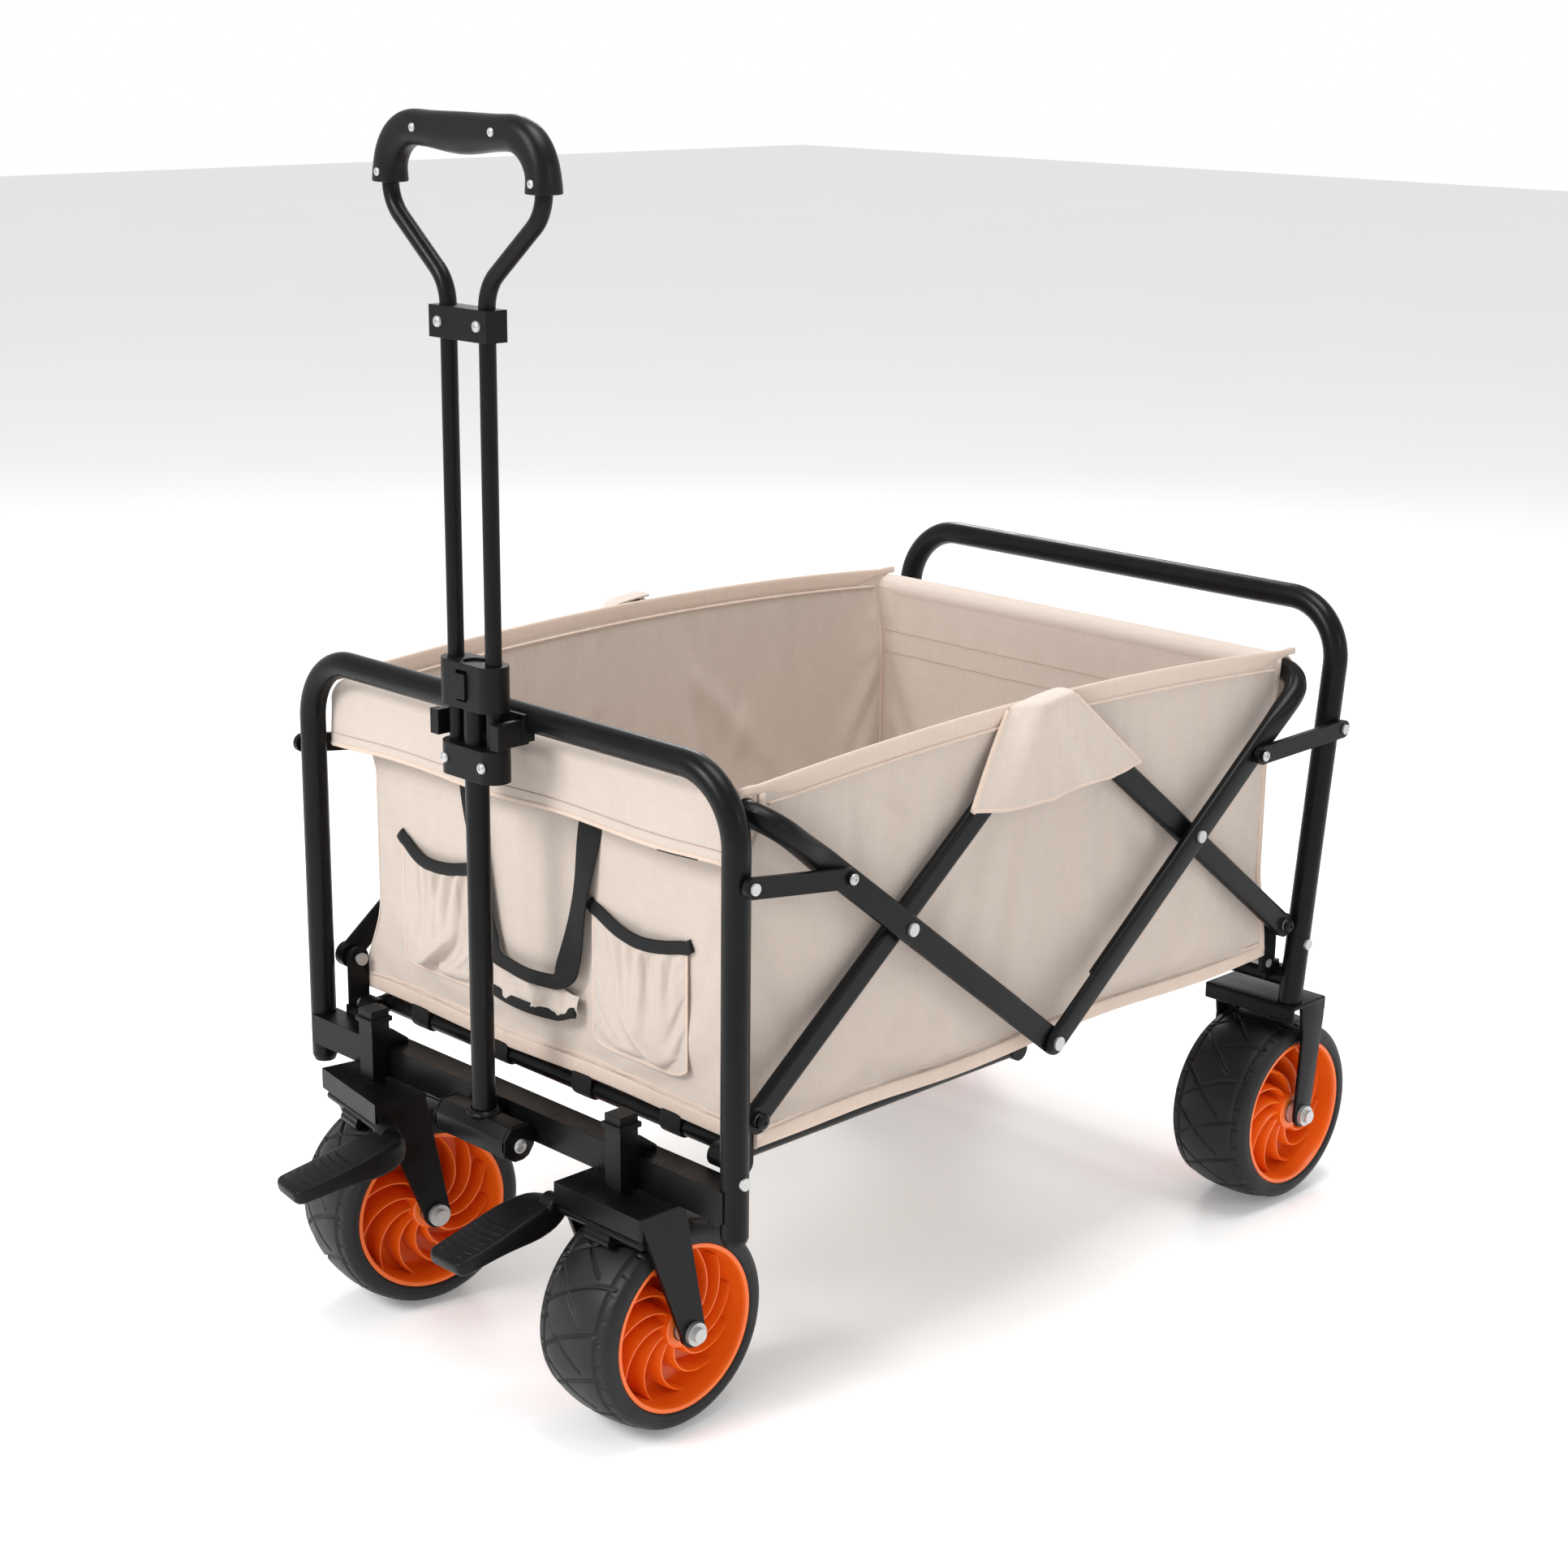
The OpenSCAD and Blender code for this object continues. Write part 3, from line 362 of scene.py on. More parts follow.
def from_bmesh(name, bm, mat, angle=40):
    me = bpy.data.meshes.new(name)
    bmesh.ops.recalc_face_normals(bm, faces=bm.faces)
    bm.to_mesh(me)
    bm.free()
    obj = bpy.data.objects.new(name, me)
    bpy.context.scene.collection.objects.link(obj)
    me.materials.append(M[mat])
    me.polygons.foreach_set("use_smooth", [True] * len(me.polygons))
    me.set_sharp_from_angle(angle=math.radians(angle))
    return obj


def place(obj, body, slot, *replaced):
    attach(obj, body)
    if replaced:
        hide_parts(*replaced)
    return obj


def hump(x, width, power=2):
    """A smooth rise to 1 at x = 0, as wide as said on either side."""
    return np.exp(-((x / width) ** power))


def smoothstep(x, a=0.0, b=1.0):
    """Smooth rise from 0 at a to 1 at b, in either direction."""
    t = np.clip((x - a) / (b - a), 0, 1)
    return t * t * (3 - 2 * t)


def slow_noise(a, b, scale, seed):
    """Smooth noise over the grid with coordinates a and b."""
    off = Vector((seed * 13.7, seed * 5.1, seed * 9.3))
    flat = zip(a.ravel(), b.ravel())
    return np.array([noise.noise(Vector((p, q, 0)) * scale + off) for p, q in flat]).reshape(a.shape)


def simulate(obj, pinned, frames, gravity, **settings):
    """Runs a cloth simulation with some points held; gives every point's place before and after."""
    group = obj.vertex_groups.new(name="pin")
    group.add([int(i) for i in pinned], 1.0, "REPLACE")
    mod = obj.modifiers.new("cloth", "CLOTH")
    mod.settings.vertex_group_mass = "pin"
    for key, value in settings.items():
        setattr(mod.settings, key, value)
    mod.settings.effector_weights.gravity = gravity
    mod.collision_settings.use_collision = False
    mod.point_cache.frame_start = 1
    mod.point_cache.frame_end = frames
    scene = bpy.context.scene
    start = np.array([v.co for v in obj.data.vertices])
    for f in range(1, frames + 1):
        scene.frame_set(f)
    dg = bpy.context.evaluated_depsgraph_get()
    me = obj.evaluated_get(dg).to_mesh()
    end = np.array([v.co for v in me.vertices])
    obj.evaluated_get(dg).to_mesh_clear()
    obj.modifiers.clear()
    obj.vertex_groups.clear()
    scene.frame_set(1)
    return start, end


def set_points(obj, points):
    obj.data.vertices.foreach_set("co", points.astype(np.float32).ravel())
    obj.data.update()


def settle(obj, pinned, cap_out, cap_in, normal, frames=22, grow=0.004, gravity=0.6, bend=0.6):
    """Simulates a hung sheet that is a little too large for its edges; it stays near where it starts."""
    start, end = simulate(
        obj, pinned, frames, gravity, quality=6, mass=0.15, tension_stiffness=18, compression_stiffness=18,
        shear_stiffness=6, bending_stiffness=bend, shrink_min=-grow)
    move = end - start
    n = np.asarray(normal, float)
    along = move @ n
    side = move - np.outer(along, n)
    along = np.where(along > 0, cap_out * np.tanh(along / cap_out), cap_in * np.tanh(along / cap_in))
    side *= np.minimum(1, 4 * mm / np.maximum(np.linalg.norm(side, axis=1), 1e-9))[:, None]
    set_points(obj, start + side + np.outer(along, n))


# ---- camera, light, stage ----
CAM = Vector((1.6396, POST_Y - 1.3226, 1.0832))
YAW, PITCH, ROLL = (math.radians(a) for a in (45.197, 15.778, 0.599))
LENS = 3419.8 / 1932 * 36


def make_camera():
    forward = Vector((-math.sin(YAW) * math.cos(PITCH), math.cos(YAW) * math.cos(PITCH), -math.sin(PITCH)))
    right = Vector((math.cos(YAW), math.sin(YAW), 0))
    up = right.cross(forward)
    r2 = right * math.cos(ROLL) + up * math.sin(ROLL)
    u2 = r2.cross(forward)
    cam = bpy.data.cameras.new("camera")
    cam.lens = LENS
    cam.sensor_width = 36
    cam.clip_end = 60
    obj = bpy.data.objects.new("camera", cam)
    rot = Matrix((r2, u2, -forward)).transposed()
    obj.matrix_world = Matrix.Translation(CAM) @ rot.to_4x4()
    bpy.context.scene.collection.objects.link(obj)
    bpy.context.scene.camera = obj


def area_light(name, place_at, target, size, power, color=(1, 1, 1)):
    light = bpy.data.lights.new(name, "AREA")
    light.shape = "DISK"
    light.size = size
    light.energy = power
    light.color = color
    obj = bpy.data.objects.new(name, light)
    obj.location = place_at
    obj.rotation_euler = (Vector(target) - Vector(place_at)).to_track_quat("-Z", "Y").to_euler()
    bpy.context.scene.collection.objects.link(obj)


def make_stage():
    world = bpy.data.worlds.new("studio")
    world.use_nodes = True
    tree = world.node_tree
    sky = tree.nodes["Background"]
    coords = add(tree, "ShaderNodeTexCoord")
    parts = add(tree, "ShaderNodeSeparateXYZ")
    tree.links.new(coords.outputs["Generated"], parts.inputs[0])
    fade = add(tree, "ShaderNodeMapRange", interpolation_type="SMOOTHSTEP")
    for key, value in (("From Min", 0.06), ("From Max", 0.42), ("To Min", 1.0), ("To Max", 0.62)):
        fade.inputs[key].default_value = value
    tree.links.new(parts.outputs["Z"], fade.inputs["Value"])
    tree.links.new(fade.outputs["Result"], sky.inputs["Strength"])
    sky.inputs["Color"].default_value = (1.0, 1.0, 0.995, 1)
    bpy.context.scene.world = world
    area_light("key", (-0.5, -3.3, 2.7), (0, -0.1, 0.35), 1.5, 105, (0.98, 0.99, 1.0))
    area_light("top", (0.5, 0.2, 3.4), (0, 0.05, 0.3), 1.6, 60)
    area_light("side_light", (3.2, 0.6, 1.9), (0, 0, 0.4), 1.0, 9)
    area_light("rim_light", (-2.2, 2.2, 2.2), (0, 0, 0.5), 1.0, 30)
    mat, tree, shader = new_material("pale_floor", (0.95, 0.95, 0.945), 0.75, spec=0.1)
    tree.links.new(
        mix_color(tree, noise_of(tree, 1.5), (0.94, 0.94, 0.94), (0.955, 0.955, 0.955)),
        shader.inputs["Base Color"])
    shader.inputs["Emission Color"].default_value = (1, 1, 1, 1)
    shader.inputs["Emission Strength"].default_value = 0.16
    M["pale_floor"] = mat
    span = np.array([[[x, y, -0.0005] for y in (-14.0, 14.0)] for x in (-14.0, 14.0)])
    floor = grid("floor", span, "pale_floor")
    view = bpy.context.scene.view_settings
    view.view_transform = "Standard"


make_camera()
make_stage()


# ---- wheels ----
def wheel_frame(joint):
    """Matrix of a wheel or lever: local X is the joint's axis, Z stays up."""
    j = joints[joint]
    x = Vector(j["axis"]).normalized()
    z = Vector((0, 0, 1))
    y = z.cross(x)
    return Matrix.Translation(Vector(j["pos_m"])) @ Matrix((x, y, z)).transposed().to_4x4()


WHEEL_R = joints["rear_wheel_spin_right"]["pos_m"][2]
tyre_lo, tyre_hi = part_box("rear_tyre_right")
TYRE_HALF = (tyre_hi.x - tyre_lo.x) / 2
RIM_R = 70 * mm


def tyre_points():
    """Tread with two crossing families of curved grooves, shoulder grooves and a ringed sidewall."""
    around, repeats = 512, 14
    h = TYRE_HALF
    crown = h - 8 * mm
    sidewall = (
        (8, -1.2), (2.5, -1), (0.8, 0.6), (0.4, 2.2), (0.9, 3), (0.5, 4.2), (1.2, 7), (2.8, 10.2),
        (5.6, 13.2))
    outline = [(dx * mm - h, RIM_R + dr * mm) for dx, dr in sidewall]
    tread = [(x, WHEEL_R - 4.6 * mm * (abs(x) / crown) ** 2.6) for x in np.linspace(-crown, crown, 61)]
    profile = np.array(outline + tread + [(-x, r) for x, r in outline[::-1]])
    theta = np.linspace(0, 2 * np.pi, around, endpoint=False)
    x = np.tile(profile[:, 0], (around, 1))
    r = np.tile(profile[:, 1], (around, 1))
    t = x / crown
    phase = theta[:, None] * repeats / (2 * np.pi)
    pitch = 2 * np.pi * WHEEL_R / repeats
    s_ = t + 0.3
    cut = np.zeros_like(x)
    for bend, steep, reach in (
        (0.52 * s_ - 0.15 * s_ * s_, 0.5, 2.0), (-0.80 * s_ + 0.16 * s_ ** 3, 0.75, 0.45)
    ):
        slope = math.sqrt(1 + (steep * pitch / crown) ** 2)
        frac = np.abs((phase + bend + 0.5) % 1 - 0.5) * pitch / slope
        cut = np.maximum(
            cut, np.exp(-((frac / (1.35 * mm)) ** 4)) * (1 - smoothstep(t, reach - 0.06, reach)))
    edge = np.exp(-(((np.abs(t) - 0.86) * crown / (1.1 * mm)) ** 4))
    cut = np.maximum(cut * (np.abs(t) < 1.02) * (1 - smoothstep(np.abs(t), 0.93, 1.02)), edge)
    radial = (np.abs(phase * 2 % 1 - 0.5) * pitch / 2) < 1.0 * mm
    shoulder = (np.abs(t) > 0.9) & (np.abs(t) <= 1.03) & radial
    r = r - 2.0 * mm * cut - 1.2 * mm * shoulder
    return np.stack([x, r * np.cos(theta)[:, None], r * np.sin(theta)[:, None]], -1)


def rim_mesh(vanes=12):
    """Dished rim: rolled lips, web, hub and swept vanes on both faces, as one mesh round the X axis."""
    h = TYRE_HALF - 1.0 * mm
    half = [
        (6.5, 17), (6.5, 58), (9, 61.6), (14, 63.2), (34, 64.4), (37.2, 64.8), (38.6, 65.6), (39.2, 67.2)]
    half += [(38.8, 68.8), (37.6, 69.6), (30, 69.7)]
    half = [(x * mm * h / (40 * mm), r * mm) for x, r in half]
    hub = [
        (h - 4 * mm, 10.2 * mm), (h - 3.2 * mm, 11 * mm), (h - 3.4 * mm, 15.5 * mm),
        (h - 4.6 * mm, 16.8 * mm)]
    outline = hub + half
    profile = np.array(outline + [(-x, r) for x, r in outline[::-1]])
    n = 144
    theta = np.linspace(0, 2 * np.pi, n, endpoint=False)
    pts = np.stack([
        np.tile(profile[:, 0], (n, 1)), np.outer(np.cos(theta), profile[:, 1]),
        np.outer(np.sin(theta), profile[:, 1])], -1)
    verts = [pts.reshape(-1, 3)]
    faces = grid_faces(n, len(profile), True, True)
    base = len(verts[0])
    steps = np.linspace(0, 1, 22)
    for side in (1, -1):
        for k in range(vanes):
            radius = 15.5 * mm + steps * 48.6 * mm
            turn = 2 * np.pi * k / vanes + side * (1.05 * steps ** 1.25)
            line = np.stack([radius * np.cos(turn), radius * np.sin(turn)], 1)
            tan = np.gradient(line, axis=0)
            tan /= np.linalg.norm(tan, axis=1)[:, None]
            nor = np.stack([-tan[:, 1], tan[:, 0]], 1)
            top = h - 8 * mm - 9.0 * mm * steps ** 1.6
            wide = 1.9 * mm + 0.6 * mm * (1 - steps)
            ring = []
            for dx, w in (
                (0, 1.5), (0.55, 1.15), (0.9, 0.8), (1.0, 0.25), (1.0, -0.25), (0.9, -0.8), (0.55, -1.15),
                (0, -1.5)
            ):
                xx = 5.5 * mm + dx * (top - 5.5 * mm)
                ring.append(np.stack(
                    [side * xx, line[:, 0] + nor[:, 0] * wide * w, line[:, 1] + nor[:, 1] * wide * w], 1))
            vane = np.stack(ring, 1)
            verts.append(vane.reshape(-1, 3))
            m = vane.shape[1]
            faces += loft_faces(len(steps), m, base)
            base += len(steps) * m
    return np.concatenate(verts), faces


tyre_pts = tyre_points()
rim_pts, rim_faces = rim_mesh()
for joint, where in (("front_wheel_spin_right", "front_%s_right"), ("front_wheel_spin_left", "front_%s_left"),
                     ("rear_wheel_spin_right", "rear_%s_right"), ("rear_wheel_spin_left", "rear_%s_left")):
    turn = Matrix.Rotation(0.35 * len(where), 4, "X")
    mat = wheel_frame(joint) @ turn
    tyre = grid("tyre_" + where % "w", tyre_pts, "tyre_rubber", True, True)
    tyre.data.transform(mat)
    place(outward(tyre), joints[joint]["child"], "tyre_rubber", where % "tyre")
    rim = mesh_object("rim_" + where % "w", rim_pts, rim_faces, "rim_orange")
    rim.data.transform(mat)
    outward(rim)
    rim.data.set_sharp_from_angle(angle=math.radians(38))
    place(rim, joints[joint]["child"], "rim_orange", where % "rim")
    for o in (tyre, rim):
        o.name = o.name.replace("_w", "")


# ---- handle ----
HY, HZ = joints["handle_tilt"]["pos_m"][1:]
grip_lo, grip_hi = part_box("handle_grip")
GRIP_R = 13 * mm
GRIP_Z = grip_hi.z - GRIP_R
ARM_X = grip_hi.x - GRIP_R
ARM_Z = grip_lo.z


def make_grip():
    bend = 35 * mm
    straight = np.linspace(0, 1, 9)
    arc = np.linspace(0, np.pi / 2, 14)[1:]
    right = [(ARM_X, ARM_Z - 2 * mm + t * (GRIP_Z - bend - ARM_Z + 2 * mm)) for t in straight]
    right += [(ARM_X - bend + bend * math.cos(a), GRIP_Z - bend + bend * math.sin(a)) for a in arc]
    top = [(x, GRIP_Z) for x in np.linspace(ARM_X - bend, -(ARM_X - bend), 26)[1:-1]]
    left = [(-x, z) for x, z in right[::-1]]
    line = np.array(right + top + left)
    path = np.stack([line[:, 0], np.full(len(line), HY), line[:, 1]], 1)
    step = np.r_[0, np.cumsum(np.linalg.norm(np.diff(path, axis=0), axis=1))]
    u = step / step[-1]
    mid = np.abs(2 * u - 1)
    sections = []
    for m_ in mid:
        swell = math.exp(-((m_ / 0.34) ** 2))
        shoulder = math.exp(-(((m_ - 0.62) / 0.2) ** 2))
        flare = smoothstep(m_, 0.86, 1.0)
        thick = 12.2 * mm + 1.5 * mm * shoulder + 0.9 * mm * flare
        sec = oval(thick + 0.6 * mm * swell, 12.4 * mm + 0.9 * mm * flare, 28, 2.35)
        inner = sec[:, 0] * -1 > 0
        sec[inner, 0] -= 5.0 * mm * swell * (np.abs(sec[inner, 0]) / thick)
        sections.append(sec)
    sections = np.array(sections)
    ends = np.ones(len(path))
    ends[[0, -1]] = 0.9
    grip = sweep("grip", path, sections, "grip_plastic", up=(0, -1, 0), scale=ends)
    subdivide(grip)
    place(grip, "handle_upper", "plastic_black", "handle_grip")


def screw(name, at, radius, body, facing=(0, -1, 0), mat="steel"):
    """A low domed screw head with a small socket, facing outwards."""
    profile = [(0.0, 0.35), (0.22, 0.35), (0.26, 0.62), (0.5, 0.6), (0.8, 0.42), (0.97, 0.16), (1.0, -0.4)]
    n = 24
    t = np.linspace(0, 2 * np.pi, n, endpoint=False)
    pts = np.array([[
        (r * radius * math.cos(a), r * radius * math.sin(a), h * radius * 0.6) for r, h in profile[1:]
    ] for a in t])
    obj = grid(name, pts, mat, closed_u=True)
    bm = bmesh.new()
    bm.from_mesh(obj.data)
    bmesh.ops.holes_fill(bm, edges=[e for e in bm.edges if e.is_boundary], sides=0)
    bm.to_mesh(obj.data)
    bm.free()
    rot = Vector(facing).to_track_quat("Z", "Y").to_matrix().to_4x4()
    obj.data.transform(Matrix.Translation(Vector(at)) @ rot)
    outward(obj)
    obj.data.set_sharp_from_angle(angle=math.radians(50))
    place(obj, body, mat)


make_grip()
for k, (sx, sz) in enumerate((
    (-46, GRIP_Z), (46, GRIP_Z), (-ARM_X / mm, ARM_Z + 6 * mm), (ARM_X / mm, ARM_Z + 6 * mm)
)):
    screw(f"grip_screw_{k}", (sx * mm, HY - 12.6 * mm, sz), 3.3 * mm, "handle_upper")


def make_handle_foot():
    """Bent-plate saddle with closed ends, its two bolt heads and the weld round the tube's base."""
    half = 45 * mm
    up = 17 * mm
    bm = bmesh.new()
    place_at = Matrix.Translation(Vector((0, HY, HZ)))
    shell = [
        (-16, -7), (-16, 8), (-8.5, 17), (8.5, 17), (15.5, 9), (15.5, 3), (12, 3), (12, 7.5), (7, 13.4),
        (-7, 13.4), (-12.6, 6.8), (-12.6, -7)]
    prism_mesh(bm, [(y * mm, z * mm) for y, z in shell], -half, half, 0.9 * mm, place_at)
    cheek = [
        (-16, -3), (-16, 8), (-8.5, 17), (8.5, 17), (15.5, 9), (14.5, -2), (9, -10), (3, -12.5),
        (-5, -12.5), (-12, -8.5)]
    for x in (-half - 0.3 * mm, half - 3.7 * mm):
        prism_mesh(bm, [(y * mm, z * mm) for y, z in cheek], x, x + 4 * mm, 0.8 * mm, place_at)
    rod_mesh(bm, (-half, 0, 0), (half, 0, 0), 4 * mm, 0, place_at)
    foot = from_bmesh("handle_foot_plate", bm, "powder_black")
    place(foot, "handle_lower", "powder_black", "handle_foot")
    theta = np.linspace(0, 2 * np.pi, 48, endpoint=False)
    ring = []
    for a in theta:
        lump = 0.55 * math.sin(7 * a) + 0.4 * math.sin(13 * a + 1)
        section = (
            (10.6, 3.6 + 0.4 * lump), (11.7, 2.9), (13, 1.9), (14.2, 1), (15.2 + 0.8 * lump, -0.6),
            (10.6, -0.6))
        ring.append([
            (r * mm * math.cos(a), HY + r * mm * math.sin(a), HZ + up + z * mm) for r, z in section])
    weld = outward(grid("handle_weld", np.array(ring), "powder_black", True, True))
    place(weld, "handle_lower", "powder_black")
    for k, side in enumerate((1, -1)):
        screw(f"foot_bolt_{k}", (side * (half + 0.4 * mm), HY, HZ), 6.2 * mm, "handle_lower", (side, 0, 0))


make_handle_foot()
for k, (sx, sy, sz) in enumerate(((23, -14.6, 514), (-23, -14.6, 514), (23, -11, 850), (-23, -11, 850))):
    screw(f"collar_screw_{k}", (sx * mm, HY + sy * mm, sz * mm), 4.4 * mm, "handle_upper")


for word, side in (("right", 1), ("left", -1)):
    out_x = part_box("inner_bar_front_" + word)[1 if side > 0 else 0].x
    for place_name, y in (("front", PY), ("rear", RY)):
        screw(
            f"pivot_cap_{place_name}_{word}", (out_x + side * 2.7 * mm, y, PZ), 6.6 * mm,
            place_name + "_frame", (side, 0, 0), "powder_black")
        lo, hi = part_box(f"link_{place_name}_{word}")
        j = joints[f"link_{place_name}_{word}_pivot"]["pos_m"]
        near_y = lo.y + 8 * mm if abs(lo.y - j[1]) > abs(hi.y - j[1]) else hi.y - 8 * mm
        near_z = lo.z + 8 * mm if abs(lo.z - j[2]) > abs(hi.z - j[2]) else hi.z - 8 * mm
        screw(
            f"link_rivet_{place_name}_{word}",
            ((hi.x if side > 0 else lo.x) + side * 0.3 * mm, near_y, near_z), 4.6 * mm,
            f"link_{place_name}_{word}", (side, 0, 0))


# ---- rear forks ----
def make_rear_forks():
    """Crown plate with its front flange and two arms that lean forward to the axle, on both sides."""
    lo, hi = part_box("rear_forks")
    ax = joints["rear_wheel_spin_right"]["pos_m"]
    bm = bmesh.new()
    top = hi.z
    for side in (1, -1):
        cx = side * ax[0]
        half = 50 * mm
        y0, y1 = lo.y, hi.y
        box_mesh(bm, (cx - half, y0, top - 4 * mm), (cx + half, y1, top), 1.4 * mm)
        box_mesh(bm, (cx - half, y0, top - 15 * mm), (cx + half, y0 + 3.2 * mm, top - 1 * mm), 1.2 * mm)
        box_mesh(bm, (cx - half, y1 - 3.2 * mm, top - 13 * mm), (cx + half, y1, top - 1 * mm), 1.2 * mm)
        arm = [(y0 + 14 * mm, top - 2 * mm), (y1, top - 2 * mm), (y1 - 1 * mm, top - 20 * mm)]
        for a in np.linspace(8, -188, 15):
            arm.append((
                ax[1] + 12 * mm * math.cos(math.radians(a)), ax[2] + 12 * mm * math.sin(math.radians(a))))
        arm += [(y0 + 19 * mm, top - 34 * mm)]
        for x in (cx - half, cx + half - 4 * mm):
            prism_mesh(bm, arm, x, x + 4 * mm, 1.1 * mm)
    forks = from_bmesh("rear_fork_plates", bm, "powder_black", 35)
    place(forks, "rear_frame", "powder_black", "rear_forks")


make_rear_forks()


# ---- frames of flat tube ----
def rounded(half_w, half_h, r, dx=0.0, per=5):
    """Outline of a rounded rectangle, the same number of points for any size."""
    pts = []
    r = min(r, half_w, half_h)
    for cx, cy, start in (
        (half_w - r, half_h - r, 0), (r - half_w, half_h - r, 90), (r - half_w, r - half_h, 180),
        (half_w - r, r - half_h, 270)
    ):
        for a in np.linspace(0, 90, per):
            pts.append((
                dx + cx + r * math.cos(math.radians(start + a)), cy + r * math.sin(math.radians(start + a))
            ))
    return np.array(pts)


def make_outer_frame(node, body, top_y, inner_half):
    """One bent tube: halved flat feet, flat legs that turn round before the bends, round cross tube."""
    foot = np.array([MID, foot_at])
    top = np.array([top_y, TOPZ])
    length = np.linalg.norm(top - foot)
    along = (top - foot) / length
    leg_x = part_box(node)[1].x - 10 * mm
    bend = 30 * mm
    lap = 68 * mm
    leg = []
    for d in 11 * np.sin(np.linspace(-np.pi / 2, 0, 10)):
        leg.append((d * mm, 5 * mm, max(2.4, math.sqrt(max(0, 11 ** 2 - d ** 2))) * mm, 4.0 * mm, True))
    leg += [
        (lap - 0.2 * mm, 5 * mm, 11 * mm, 4.0 * mm, True),
        (lap + 0.2 * mm, 5 * mm, 11 * mm, 4.0 * mm, False)]
    for t in np.linspace(0.12, 1, 7):
        leg.append((lap + (length - 76 * mm - lap) * t, 5 * mm, 11 * mm, 4.0 * mm, False))
    for t in np.linspace(0, 1, 9)[1:]:
        k = smoothstep(t)
        leg.append((
            length - 76 * mm + 40 * mm * t, (5 + 5 * k) * mm, (11 - k) * mm, (4.0 + 6.0 * k) * mm, False))
    path, sections = [], []
    for d, hw, hh, r, halved in leg:
        path.append((leg_x, d))
        outline = rounded(hw, hh, r)
        if halved:
            outline[:, 0] = np.clip(
                outline[:, 0], -5 * mm if inner_half else 0.2 * mm, -0.2 * mm if inner_half else 5 * mm)
        sections.append(outline)
    for a in np.linspace(0, np.pi / 2, 12):
        path.append((leg_x - bend + bend * math.cos(a), length - bend + bend * math.sin(a)))
        sections.append(rounded(10 * mm, 10 * mm, 10 * mm))
    path = np.array(path + [(-x, d) for x, d in path[::-1]])
    sections = np.array(sections + sections[::-1])
    line = np.stack([path[:, 0], foot[0] + path[:, 1] * along[0], foot[1] + path[:, 1] * along[1]], 1)
    side = np.array([0, -along[1], along[0]])
    if np.cross(line[5] - line[4], side)[0] < 0:
        side = -side
    obj = sweep(node + "_tube", line, sections, "powder_black", up=side)
    obj.data.set_sharp_from_angle(angle=math.radians(45))
    place(obj, body, "powder_black", node)


foot_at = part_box("outer_frame_front")[0].z + 10 * mm
make_outer_frame("outer_frame_front", "outer_front", PY, True)
make_outer_frame("outer_frame_rear", "outer_rear", RY, False)


# ---- brake pedals ----
# Sections from the tip to the heel, in mm: y, x from and to, z from and to, corner radius
PEDAL = (
    (-100.5, 57, 86, -6, 0.5, 3), (-100, 55, 88, -7.2, 1.6, 3), (-98, 52.4, 90.4, -8.6, 2.6, 3),
    (-94.5, 50.9, 92, -9.2, 3, 2.6), (-80, 50.5, 92.4, -9.8, 3.2, 2.4),
    (-66, 50.4, 92.4, -10.8, 3.4, 2.4), (-54, 50.4, 92.4, -12.2, 3.8, 2.6),
    (-42, 50.4, 92.2, -14.2, 4.6, 3), (-32, 50.4, 91.8, -16.2, 5.2, 3.4), (-22, 50.4, 91, -17.6, 5.4, 4),
    (-12, 50.4, 89.6, -18, 5.2, 5), (-5, 50.4, 87.6, -17, 4.6, 5.4), (0, 50.4, 85, -15.2, 3.6, 5.6),
    (4.5, 50.4, 81, -12.6, 2, 5.6), (7.5, 50.4, 76, -9.8, 0, 4.6), (8.8, 51, 71, -7.2, -2.2, 2.2),
)


def make_pedal(side, word):
    """Moulded pedal: ribbed tread, deepening body and hub, built in the lever's own frame."""
    j = joints["brake_" + word]
    inward = Vector(j["axis"]).normalized()
    if inward.x * side > 0:
        inward = -inward
    back = Vector((0, 0, 1)).cross(inward)
    if back.y < 0:
        back = -back
    axes = Matrix((inward, back, Vector((0, 0, 1)))).transposed().to_4x4()
    own = Matrix.Translation(Vector(j["pos_m"])) @ axes @ Matrix.Rotation(math.radians(12), 4, "X")
    rows = []
    for y, x0, x1, z0, z1, r in PEDAL:
        ring = rounded((x1 - x0) / 2 * mm, (z1 - z0) / 2 * mm, r * mm, 0, 6)
        rows.append(np.stack(
            [ring[:, 0] + (x0 + x1) / 2 * mm, np.full(len(ring), y * mm), ring[:, 1] + (z0 + z1) / 2 * mm],
            1))
    bm = bmesh.new()
    loft_mesh(bm, np.array(rows))
    rod_mesh(bm, (50.5 * mm, 0, 0), (66 * mm, 0, 0), 9.5 * mm, 1.2 * mm)
    for k in range(7):
        y = (-92.5 + 7.3 * k) * mm
        rise = 3.2 * mm if k < 5 else 3.7 * mm
        trim = 3.2 * mm if k == 0 else 0
        path = [(
            x, y + 1.6 * mm * ((x - 71.4 * mm) / (17 * mm)) ** 2, rise
        ) for x in np.linspace(54.4 * mm + trim, 88.4 * mm - trim, 9)]
        rib = oval(1.5 * mm, 1.1 * mm, 10)
        pts = np.array([
            [(x, y0 + u, z + w) for u, w in rib * (0.35 if i in (0, 8) else 1)] for i,
            (x, y0, z) in enumerate(path)])
        loft_mesh(bm, pts)
    bmesh.ops.transform(bm, matrix=own, verts=bm.verts)
    pedal = outward(from_bmesh("pedal_" + word, bm, "plastic_black"))
    place(pedal, "brake_" + word, "plastic_black", "brake_lever_" + word)


make_pedal(1, "right")
make_pedal(-1, "left")

